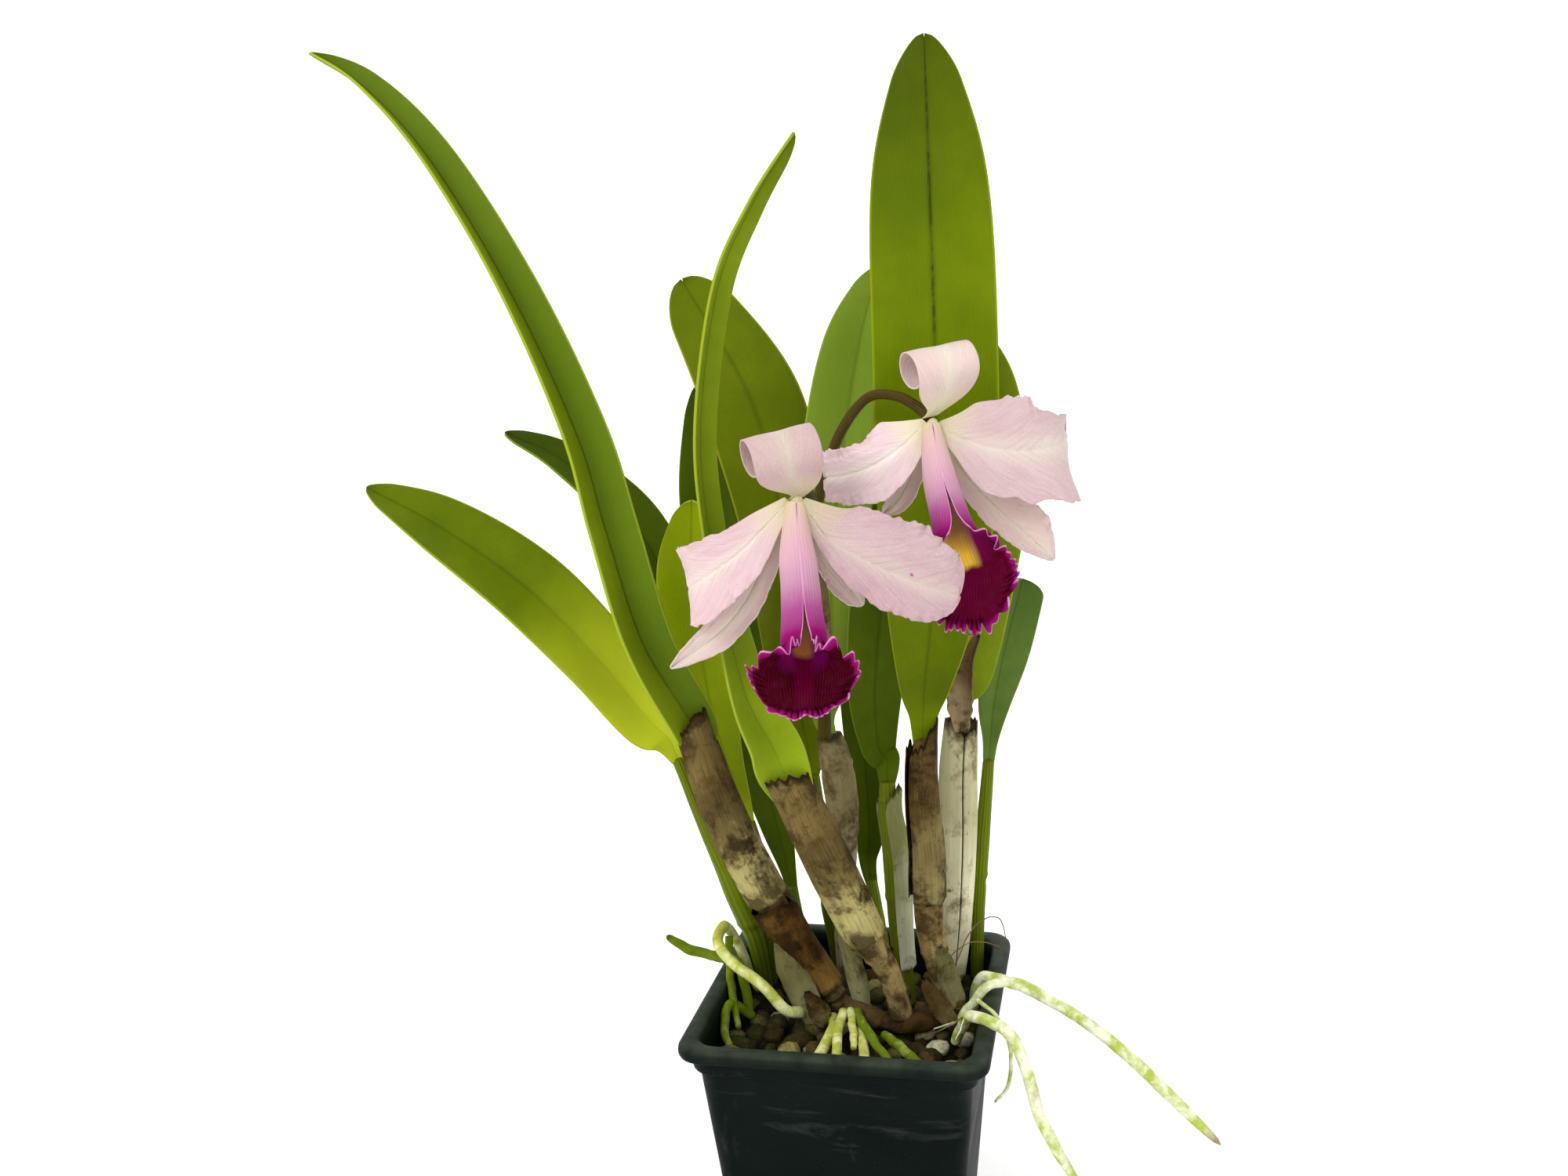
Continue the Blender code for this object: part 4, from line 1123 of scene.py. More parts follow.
@dataclass
class Sheath:
    """Papery sheath round a pseudobulb, split down one side and torn at its mouth."""

    node: str
    stem: Stem
    start: float
    end: float
    arc: float
    slit: Point
    flare: float
    skin: Skin
    tear: float = 0.05
    slot: str = "brown_sheath"
    skin_gap: float = 1.2
    slope: float = 0.0
    reach: float = 110.0

    def build(self) -> None:
        """Build and dress the sheath."""
        spine = Spine(self.stem.points, [tuple(-c for c in self.slit)])
        half_arc = math.radians(self.arc) / 2
        seed = len(self.node) * 1.7

        def shape(across: float, along: float) -> Vector:
            """Return a point of the paper.

            Args:
                across: Place across, from -1 to 1.
                along: Place along, from 0 to 1.

            Returns:
                The point in millimetres.
            """
            torn = self.tear * (0.6 * wander(across * 3.5, seed) + 0.5 * wander(across * 13, seed + 4) + 0.25)
            edge = self.end - torn - 0.06 * abs(across) ** 6
            _, _, side, out = spine.at(min(self.end, 1.0))
            edge += self.slope * (side * math.sin(half_arc * across) + out * math.cos(half_arc * across)).x
            foot = self.start + 0.012 * wander(across * 5, seed + 9)
            u = foot + (edge - foot) * along
            place, way, side, out = spine.at(min(u, 1.0))
            place = place + way * max(u - 1.0, 0.0) * self.reach
            angle = half_arc * across
            skin = self.skin_gap + self.flare * along ** 3 * (1 + 0.4 * wander(across * 3, seed + 2))
            skin += 0.35 * abs(across) ** 8 + 0.16 * wander(across * 7, along * 5, seed)
            skin += 0.07 * math.sin(34 * across)
            reach = smooth(self.stem.radii, u) * 1.03 + skin
            return place + (side * math.sin(angle) + out * math.cos(angle)) * reach

        add_sheet(
            f"{self.node}_paper", SHEATH_FACES, shape, [self.skin, self.skin], [self.node],
            SHEATH_THICK, spine.at((self.start + self.end) / 2)[3],
        )


@dataclass
class Leaf:
    """Strap leaf, folded along its midrib, that stands on a pseudobulb."""

    node: str
    stem: Stem
    points: Sequence[Point]
    widths: Sequence[float]
    looks: Sequence[Point]
    fold: float
    skin: Skin
    wave: float = 0.6
    notch: float = 0.0
    seat: float = -1.4
    neck: float = 9.0
    foot_fold: float = 0.45

    def build(self) -> None:
        """Build and dress the leaf."""
        base = self.stem.spine()
        top = base.points[-1]
        way = base.way(1.0)
        spine = Spine([tuple(top + way * self.seat), tuple(top + way * self.neck), *self.points], self.looks)
        tilt = math.radians(self.fold)
        seed = len(self.node) * 2.3

        def shape(across: float, along: float) -> Vector:
            """Return a point of the blade.

            Args:
                across: Place across, from -1 to 1.
                along: Place along, from 0 to 1.

            Returns:
                The point in millimetres.
            """
            u = 1 - (1 - along) ** 1.25
            place, _, side, out = spine.at(u - self.notch * (1 - across * across) * ease(0.9, 1.0, u) * 0.02)
            half = smooth(self.widths, u) * rounded(u, 0.95, 0.03)
            gutter = math.sqrt(across * across + 0.012) - 0.11
            bent = tilt * (self.foot_fold + (1 - self.foot_fold) * ease(0.04, 0.26, u))
            rise = half * math.sin(bent) * gutter - 0.05 * half * across ** 4
            rise += self.wave * across * across * wander(u * 4.5, across * 0.7, seed)
            return place + side * half * across * math.cos(bent) + out * rise

        add_sheet(
            f"{self.node}_blade", LEAF_FACES, shape, [self.skin, Skin.LEAF_UNDER], [self.node],
            LEAF_THICK, spine.at(0.5)[3],
        )


@dataclass
class Petal:
    """Petal or sepal with its own outline on each side, a reflexed end and a ruffled margin.

    Each row holds a point of the midrib and the widths to its left and right, in millimetres.
    """

    node: str
    rows: Sequence[Row]
    looks: Sequence[Point]
    cup: float
    ruffle: float
    skin: Skin = Skin.PETAL
    slot: str = "petal_pink"
    folds: float = 8.0
    slant: float = 0.0

    def build(self) -> None:
        """Build and dress the petal."""
        spine = Spine([row[:3] for row in self.rows], self.looks)
        widths = ([row[3] for row in self.rows], [row[4] for row in self.rows])
        seed = sum(self.rows[1][:3]) * 0.37
        tilt = math.radians(self.cup)

        def shape(across: float, along: float) -> Vector:
            """Return a point of the petal.

            Args:
                across: Place across, from -1 to 1.
                along: Place along, from 0 to 1.

            Returns:
                The point in millimetres.
            """
            u = 1 - (1 - along) ** 1.15
            size = abs(across)
            place, _, side, out = spine.at(u + (self.slant * across - abs(self.slant)) * ease(0.2, 0.7, u))
            half = smooth(widths[1 if across > 0 else 0], u)
            lobes = wander(u * self.folds * 1.6, math.copysign(3.0, across), seed)
            nicks = wander(u * self.folds * 5, math.copysign(5.0, across), seed)
            half *= 1 + (0.09 * lobes + 0.06 * nicks) * ease(0.15, 0.5, u) * size
            half *= rounded(u, 0.9, 0.07)
            margin = size ** 4 * ease(0.12, 0.35, u)
            frill = wander(u * self.folds * 2.2, across * 1.4, seed + 7) * 1.3
            frill += 0.6 * wander(u * self.folds * 6, across * 2, seed + 3)
            pleat = math.sin(across * 23 + 4 * wander(u * 3, across)) * size * (1 - margin)
            pleat *= ease(0.1, 0.5, u)
            body = 1.1 * wander(u * 2.6, across * 1.6, seed) * ease(0.05, 0.4, u)
            rise = half * math.sin(tilt) * size * size + self.ruffle * frill * margin + pleat * 0.14 + body
            rise -= 0.4 * math.exp(-((across / 0.06) ** 2)) * ease(0.0, 0.2, u)
            return place + side * half * across * math.cos(tilt * size) + out * rise

        add_sheet(
            f"{self.node}_tissue", PETAL_FACES, shape, [self.skin, Skin.SEPAL], [self.node],
            PETAL_THICK, spine.at(0.4)[3],
        )


@dataclass
class Scroll:
    """Dorsal sepal: rises from a narrow foot and rolls back into a loose scroll.

    The scroll's axis runs from its left end to its right end, nearly level.
    """

    node: str
    foot: Point
    left: Point
    right: Point
    radius_left: float
    radius_right: float
    lean: float = 0.0
    skin: Skin = Skin.SEPAL
    turns: float = 470.0
    start: float = -40.0
    neck: float = 0.24
    tighten: float = 0.52
    outline: Sequence[float] = (0.2, 0.66, 0.9, 0.99, 1.0, 1.0, 0.97, 0.93, 0.86, 0.76, 0.6, 0.4)

    def build(self) -> None:
        """Build and dress the rolled sepal."""
        foot = Vector(self.foot)
        left = Vector(self.left)
        right = Vector(self.right)
        axis = (right - left).normalized()
        ahead = Vector((axis.y, -axis.x, 0)).normalized()
        up = ahead.cross(axis) * -1
        if up.z < 0:
            up = -up

        def shape(across: float, along: float) -> Vector:
            """Return a point of the rolled sepal.

            Args:
                across: Place across, from -1 to 1.
                along: Place along, from 0 to 1.

            Returns:
                The point in millimetres.
            """
            wide = smooth(self.outline, along)
            place = (1 + across * wide + self.lean * (1 - wide) * (1 - ease(0.3, 0.6, along))) / 2
            centre = left.lerp(right, place)
            radius = self.radius_left + (self.radius_right - self.radius_left) * place
            turn = max(along - self.neck, 0.0) / (1 - self.neck)
            angle = math.radians(self.start + self.turns * turn)
            reach = radius * (1 - self.tighten * turn) + 0.45 * wander(across * 2, along * 3, 1.0)
            rolled = centre + (ahead * math.cos(angle) + up * math.sin(angle)) * reach
            if along >= self.neck:
                return rolled
            t = along / self.neck
            offset = rolled - foot
            spread = axis.dot(offset)
            sideways = 1 - (1 - t) ** 4.0
            rise = (offset - axis * spread) * t - ahead * (0.10 * reach * math.sin(math.pi * t))
            return foot + rise + axis * (spread * sideways + 3.0 * across * (1 - sideways))

        add_sheet(
            f"{self.node}_tissue", SCROLL_FACES, shape, [self.skin, self.skin], [self.node],
            PETAL_THICK,
        )


@dataclass
class Lip:
    """Lip: side lobes rolled into a tube over the column, and a spread frilled midlobe.

    Each row holds a point of the middle line, the half length across it in millimetres and half
    the angle it is rolled through in degrees.
    """

    node: str
    rows: Sequence[Row]
    looks: Sequence[Point]
    frill: float = 2.5
    waves: float = 47.0
    end: float = 0.20
    inside: Skin = Skin.LIP_INSIDE

    def build(self) -> None:
        """Build and dress the lip."""
        spine = Spine([row[:3] for row in self.rows], self.looks)
        widths = [row[3] for row in self.rows]
        arcs = [row[4] for row in self.rows]
        seed = self.rows[0][0]

        def shape(across: float, along: float) -> Vector:
            """Return a point of the lip.

            Args:
                across: Place across, from -1 to 1.
                along: Place along, from 0 to 1.

            Returns:
                The point in millimetres.
            """
            size = abs(across)
            spread = ease(0.60, 1.0, along)
            u = along - self.end * spread * (1 - math.sqrt(1 - 0.985 * across * across))
            u -= 0.018 * ease(0.9, 1.0, along) * math.exp(-((across / 0.12) ** 2))
            half = smooth(widths, along)
            arc = math.radians(smooth(arcs, along))
            low = ease(0.46, 0.58, along)
            turn = math.atan2(across * 19, (along - 0.74) * 70)
            ripple = math.sin(self.waves * turn + 3.0 * wander(turn * 2.3, seed))
            ripple += 0.8 * math.sin(0.47 * self.waves * turn + 3 * wander(turn * 1.9, seed + 5))
            ripple *= 0.75 + 0.9 * wander(turn * 3.1, seed + 11)
            near = max(size ** 6, ease(0.86, 1.0, along) ** 2)
            half *= 1 + (0.06 * ripple + 0.13 * wander(turn * 2.4, seed + 2)) * near * low
            u -= 0.03 * (0.5 + wander(turn * 2.8, seed + 6)) * ease(0.86, 1.0, along)
            place, _, side, out = spine.at(u + 0.018 * ripple * ease(0.9, 1.0, along))
            angle = arc * across
            if abs(arc) > 0.03:
                bend = half / arc
                sideways = bend * math.sin(angle)
                rise = bend * (1 - math.cos(angle))
            else:
                sideways = half * across
                rise = 0.0
            rise += self.frill * ripple * near * low
            rise += 0.7 * wander(across * 3.0, along * 7, seed) * low
            return place + side * sideways + out * rise

        bm = grid(*LIP_FACES, shape)
        bmesh.ops.recalc_face_normals(bm, faces=bm.faces[:])
        flat = [f for f in bm.faces if f.calc_center_median().z < (self.rows[-1][2] + 9) * MM]
        if sum(f.normal.dot(spine.at(0.9)[3]) for f in flat) < 0:
            bmesh.ops.reverse_faces(bm, faces=bm.faces[:])
        add_piece(f"{self.node}_tissue", bm, [self.inside, Skin.LIP_OUTSIDE], [self.node],
                  LIP_THICK)


@dataclass
class Rod:
    """Round living part that follows a line: root, column, flower stalk or rhizome."""

    node: str
    points: Sequence[Point]
    radii: Sequence[float]
    skin: Skin
    slot: str
    look: Point = (0.1, 0.2, 1)
    wiggle: float = 0.4
    knobs: float = 0.07
    rows: int = 90
    sides: int = 18
    replaces: bool = True

    def build(self) -> None:
        """Build and dress the rod."""
        spine = Spine(self.points, [self.look])
        seed = len(self.node) * 3.1

        def shape(across: float, along: float) -> Vector:
            """Return a point of the skin.

            Args:
                across: Place across, from -1 to 1.
                along: Place along, from 0 to 1.

            Returns:
                The point in millimetres.
            """
            place, _, side, out = spine.at(along)
            length = along * len(self.points)
            stray = side * wander(length * 1.9, seed) + out * wander(length * 1.9, seed + 8)
            place = place + stray * self.wiggle
            angle = math.pi * across
            bulge = 1 + self.knobs * wander(math.cos(angle), math.sin(angle) + seed, length * 2.2)
            reach = smooth(self.radii, along) * rounded(along, 0.96, 0.1) * bulge
            return place + (side * math.cos(angle) + out * math.sin(angle)) * reach

        bm = grid(self.sides, self.rows, shape, closed=True)
        cap_ends(bm)
        add_piece(f"{self.node}_skin", bm, [self.skin], [self.node] if self.replaces else ())


@dataclass
class Pot:
    """Square nursery pot with tapered walls, a rolled rim and a stepped band under it."""

    rim: float = 120.0
    top: float = 108.0
    base: float = 87.0
    height: float = 115.0
    wall: float = 1.6
    corner: float = 7.0
    band: float = 7.0
    lip: float = 5.5
    inset: float = 2.0
    drain_radius: float = 4.5
    drain_offset: float = 24.0
    corner_faces: int = 8
    side_cuts: int = 12

    def width(self, height: float) -> float:
        """Return the wall's outer width at a height."""
        return self.base + (self.top - self.base) * height / (self.height - self.lip)

    def sections(self) -> list[tuple[float, float]]:
        """List the rings of the wall, up the outside and down the inside.

        Returns:
            Width and height of each ring, in millimetres.
        """
        under = self.height - self.lip
        band = under - self.band
        inner = self.top - 2 * self.wall
        floor = self.width(self.wall) - 2 * self.wall
        rings = [(self.base - 1.2, 0.0), (self.base - 0.3, 0.3), (self.base, 1.0)]
        rings += [(self.width(band * k / 6), band * k / 6) for k in range(1, 6)]
        rings += [(self.width(band) - 0.1, band - 0.3), (self.width(band) + 0.6, band + 0.1)]
        rings += [(self.width(band) + 2 * self.inset - 0.6, band + 0.5),
                  (self.width(band) + 2 * self.inset, band + 1.1)]
        rings += [(self.top + 2 * self.inset - 0.2, under - 0.6),
                  (self.top + 2 * self.inset + 0.8, under - 0.1)]
        rings += [(self.rim - 2.4, under), (self.rim - 1.0, under + 0.4), (self.rim - 0.1, under + 1.5)]
        rings += [(self.rim, under + 2.8), (self.rim - 0.5, self.height - 1.3),
                  (self.rim - 1.8, self.height - 0.4)]
        rings += [(self.rim - 3.6, self.height), (self.rim - 6.5, self.height),
                  (inner + 3.2, self.height - 0.2)]
        rings += [(inner + 1.2, self.height - 1.0), (inner, self.height - 2.6),
                  (inner - 4.0, self.height - 30)]
        rings += [(floor, self.wall)]
        return rings

    def build(self) -> None:
        """Build and dress the pot."""
        bm = stack_rings(self.sections(), self.corner, self.corner_faces, self.side_cuts)
        pot = add_piece("pot_shell", bm, [Skin.POT], ["pot"])
        self.drill(pot)

    def drill(self, pot: bpy.types.Object) -> None:
        """Cut the drain holes through the pot's floor.

        Args:
            pot: The pot's object; its mesh is exchanged for the drilled one.
        """
        holes = bmesh.new()
        for sx in (-1, 1):
            for sy in (-1, 1):
                place = Matrix.Translation((sx * self.drain_offset * MM, sy * self.drain_offset * MM, 0))
                bmesh.ops.create_cone(
                    holes, cap_ends=True, segments=28, radius1=self.drain_radius * MM,
                    radius2=self.drain_radius * MM, depth=10 * MM, matrix=place,
                )
        cutter = hand_over("drain_holes", holes)
        cut = pot.modifiers.new("drain", "BOOLEAN")
        cut.operation = "DIFFERENCE"
        cut.solver = "EXACT"
        cut.object = cutter
        drilled = bpy.data.meshes.new_from_object(pot.evaluated_get(bpy.context.evaluated_depsgraph_get()))
        pot.modifiers.clear()
        pot.data = drilled
        bpy.data.objects.remove(cutter, do_unlink=True)


@dataclass
class Medium:
    """Bark, clay and pumice that fill the pot, loose pieces on a dark body."""

    top: float = 97.5
    bottom: float = 2.2
    foot: float = 83.0
    corner: float = 6.0
    corner_faces: int = 6
    reach: float = 50.5
    spacing: float = 8.2
    tones: Sequence[float] = (0.0, 0.1, 0.25, 0.4, 0.4, 0.45, 0.55, 0.62, 0.7, 0.74, 0.85, 0.92)
    named: Sequence[Row] = (
        (-42, -39, 9.0, 0.7, 0.74), (-24, -41, 7.0, 0.7, 0.60), (-22, -29, 5.5, 0.8, 0.88),
        (-43, -24, 6.0, 0.7, 0.40), (-32, -6, 5.5, 0.7, 0.30), (1, -43, 4.6, 0.7, 0.22),
        (22, -42, 6.0, 0.7, 0.62), (44, -39, 5.6, 0.8, 0.90), (33, -27, 4.6, 0.8, 0.58),
        (36, -17, 4.4, 0.8, 1.0), (46, -8, 3.8, 0.8, 1.0), (28, -20, 4.2, 0.8, 0.22),
        (11, -14, 3.6, 0.8, 0.74), (-12, -24, 4.4, 0.8, 0.60), (-2, -28, 3.6, 0.8, 0.95),
    )

    def lump(
        self, bm: bmesh.types.BMesh, x: float, y: float, radius: float, flat: float, tone: float, z: float,
    ) -> None:
        """Add one uneven piece.

        Args:
            bm: Mesh to add it to, in millimetres.
            x: Centre from the pot's middle.
            y: Centre from the pot's middle.
            radius: Half its length.
            flat: Height over length.
            tone: Place on the range of tones, from 0 to 1.
            z: Height of its centre.
        """
        tones = bm.verts.layers.float.get("tone") or bm.verts.layers.float.new("tone")
        made = bmesh.ops.create_icosphere(bm, subdivisions=2, radius=1.0)
        turn = x * 1.3 + y * 0.7
        for vert in made["verts"]:
            way = vert.co.copy()
            bump = 1 + 0.30 * wander(way.x * 1.3 + x, way.y * 1.3 + y, way.z * 1.3)
            bump += 0.10 * wander(way.x * 3.5 + x, way.y * 3.5 + y, way.z * 3.5)
            place = Vector((way.x * 1.15, way.y * 0.86, way.z * flat)) * radius * bump
            place.rotate(Matrix.Rotation(turn, 3, "Z") @ Matrix.Rotation(0.35 * math.sin(turn * 3), 3, "X"))
            place += Vector((x, y, z))
            place.x = min(max(place.x, -self.reach), self.reach)
            place.y = min(max(place.y, -self.reach), self.reach)
            vert.co = place
            vert[tones] = tone

    def build(self) -> None:
        """Build and dress the filling."""
        chance = random.Random(11)
        bm = bmesh.new()
        bm.verts.layers.float.new("tone")
        for x, y, radius, flat, tone in self.named:
            self.lump(bm, x, y, radius, flat, tone, self.top + radius * 0.28)
        count = int(2 * self.reach / self.spacing) + 1
        for i in range(count):
            for j in range(count):
                x = -self.reach + 4 + i * self.spacing + chance.uniform(-3, 3)
                y = -self.reach + 4 + j * self.spacing + chance.uniform(-3, 3)
                radius = chance.uniform(2.6, 6.2)
                tone = chance.choice(self.tones)
                near = min((Vector((x, y)) - Vector(n[:2])).length - n[2] for n in self.named)
                if near > -1 and abs(x) < self.reach - 2 and abs(y) < self.reach - 2:
                    self.lump(bm, x, y, radius, chance.uniform(0.6, 0.9), tone,
                              self.top + chance.uniform(-1.6, 0.8))
        bmesh.ops.scale(bm, vec=(MM, MM, MM), verts=bm.verts)
        add_piece("potting_pieces", bm, [Skin.BARK], ["potting_medium"])
        self.body()

    def body(self) -> None:
        """Build the dark body under the loose pieces."""
        rings = [(self.foot, self.bottom), (2 * self.reach - 0.2, self.top - 1.0)]
        bm = stack_rings(rings, self.corner, self.corner_faces)
        add_piece("potting_body", bm, [Skin.BARK], ["potting_medium"])


@dataclass
class Plant:
    """Pseudobulbs, sheaths, leaves and roots."""

    stems: dict[str, Stem] = field(default_factory=dict)

    def grow_stems(self) -> None:
        """Build the rhizome and every pseudobulb."""
        Rod(
            "rhizome",
            [(-15, 8, 105), (-6, 3, 105), (8, -5, 105), (22, -9, 105), (34, -3, 105), (46, 3, 105)],
            [3.2, 4.4, 4.0, 4.6, 4.0, 3.4], Skin.RHIZOME, "rhizome_brown", (0, 0, 1), 0.9, 0.34,
        ).build()
        rows = [
            Stem("front_left_pseudobulb",
                 [(-8, 3, 109), (-14, 3, 119), (-24, 0, 135), (-36, -3, 159), (-49, -6, 191), (-57, -8, 221)],
                 [4.9, 4.4, 5.4, 6.4, 6.6, 6.2, 5.0], (0.14, 0.37, 0.62, 0.96), Skin.BULB_OLD),
            Stem("front_centre_pseudobulb",
                 [(21, -9, 108.5), (17, -13, 129), (9, -16, 145), (0, -20, 168), (-8, -24, 190),
                  (-15, -28, 210)],
                 [4.6, 4.4, 5.6, 6.8, 7.0, 6.4, 5.4], (0.12, 0.30, 0.42), Skin.BULB_OLD),
            Stem("flowering_pseudobulb",
                 [(-9, 37, 100.4), (-10, 36, 136), (-8, 35, 170), (-9, 33, 196), (-12, 32, 213)],
                 [5.0, 4.6, 5.6, 6.8, 6.8, 5.2], (0.2, 0.5, 0.8), Skin.BULB_PALE),
            Stem("centre_pseudobulb",
                 [(19, 17, 100.4), (17, 18, 135), (16, 19, 165), (14, 19, 184), (14, 20, 197)],
                 [4.0, 4.2, 4.8, 4.6, 3.6, 3.2], (0.35, 0.85), Skin.BULB),
            Stem("right_pseudobulb",
                 [(41, 2, 109), (36, 2, 122), (32, 1, 145), (32, 1, 175), (31, 0, 200), (32, 0, 222)],
                 [4.9, 4.7, 5.4, 5.8, 5.4, 4.6, 3.6], (0.12, 0.3, 0.72), Skin.BULB_OLD),
            Stem("silvery_pseudobulb",
                 [(35, 38, 100.4), (38, 39, 130), (40, 39, 165), (41, 38, 195), (43, 38, 219)],
                 [3.8, 4.4, 5.2, 5.6, 5.0, 3.6], (0.4, 0.97), Skin.BULB_OLD),
            Stem("slender_right_pseudobulb",
                 [(46, 44, 100.4), (47, 46, 130), (49.5, 48.5, 164), (52.5, 51, 197)],
                 [2.8, 2.8, 3.0, 2.4], (0.5,), Skin.BULB),
            Stem("left_pseudobulb",
                 [(-43, 28, 100.4), (-47, 27, 125), (-56, 25, 151), (-66, 22, 177), (-75, 20, 205)],
                 [4.0, 5.2, 6.4, 4.6, 3.0, 2.4], (0.3,), Skin.BULB, 0.05),
            Stem("short_back_pseudobulb", [(-27, 22, 100.4), (-32, 21, 125), (-40, 20, 152), (-46, 20, 178)],
                 [3.6, 4.4, 4.2, 3.0], (0.4,), Skin.BULB),
            Stem("far_left_pseudobulb", [(-37, 45, 100.4), (-44, 43, 130), (-52, 41, 160), (-60, 38, 186)],
                 [3.4, 4.4, 4.0, 2.6], (0.4,), Skin.BULB),
            Stem("back_pseudobulb", [(-14, 45, 100.4), (-18, 47, 130), (-22, 50, 160), (-24, 50, 189)],
                 [3.4, 4.0, 4.4, 3.2], (0.4,), Skin.BULB),
            Stem("back_right_pseudobulb", [(6, 45, 100.4), (3, 48, 119), (-0.5, 54, 139)], [3.2, 3.4, 2.6],
                 (0.5,), Skin.BULB),
            Stem("dark_back_pseudobulb", [(-27, 46, 100.4), (-33, 49.5, 118), (-36, 51, 136)],
                 [2.8, 3.0, 2.6], (0.5,), Skin.BULB),
        ]
        for stem in rows:
            self.stems[stem.node] = stem
            stem.build()

    def wrap_sheaths(self) -> None:
        """Build the papery sheaths."""
        s = self.stems
        brown = Skin.SHEATH_BROWN
        silver = Skin.SHEATH_SILVER
        for sheath in (
            Sheath("front_left_upper_sheath", s["front_left_pseudobulb"], 0.56, 1.10, 345, (0.9, 0.6, 0.3),
                   0.6, brown, skin_gap=1.7, slope=0.06),
            Sheath("front_left_lower_sheath", s["front_left_pseudobulb"], 0.07, 0.55, 345, (0.9, 0.6, 0.3),
                   0.9, Skin.SHEATH_LOW, 0.02),
            Sheath("front_centre_sheath", s["front_centre_pseudobulb"], 0.40, 1.09, 345, (0.9, 0.6, 0.3), 1.4,
                   brown, skin_gap=1.6, slope=-0.02),
            Sheath("centre_silver_sheath", s["centre_pseudobulb"], 0.12, 0.92, 235, (-0.95, -0.5, 0.2), 1.0,
                   Skin.SHEATH_GREEN, 0.10, "silver_sheath", slope=0.05),
            Sheath("right_sheath", s["right_pseudobulb"], 0.47, 1.04, 325, (-0.9, -0.5, 0.0), 0.7,
                   Skin.SHEATH_DARK, 0.08, "silver_sheath", slope=0.03),
            Sheath("silvery_sheath", s["silvery_pseudobulb"], 0.04, 1.0, 356, (0.35, -1.0, 0.0), 0.8, silver,
                   0.05, "silver_sheath", skin_gap=2.0),
        ):
            sheath.build()

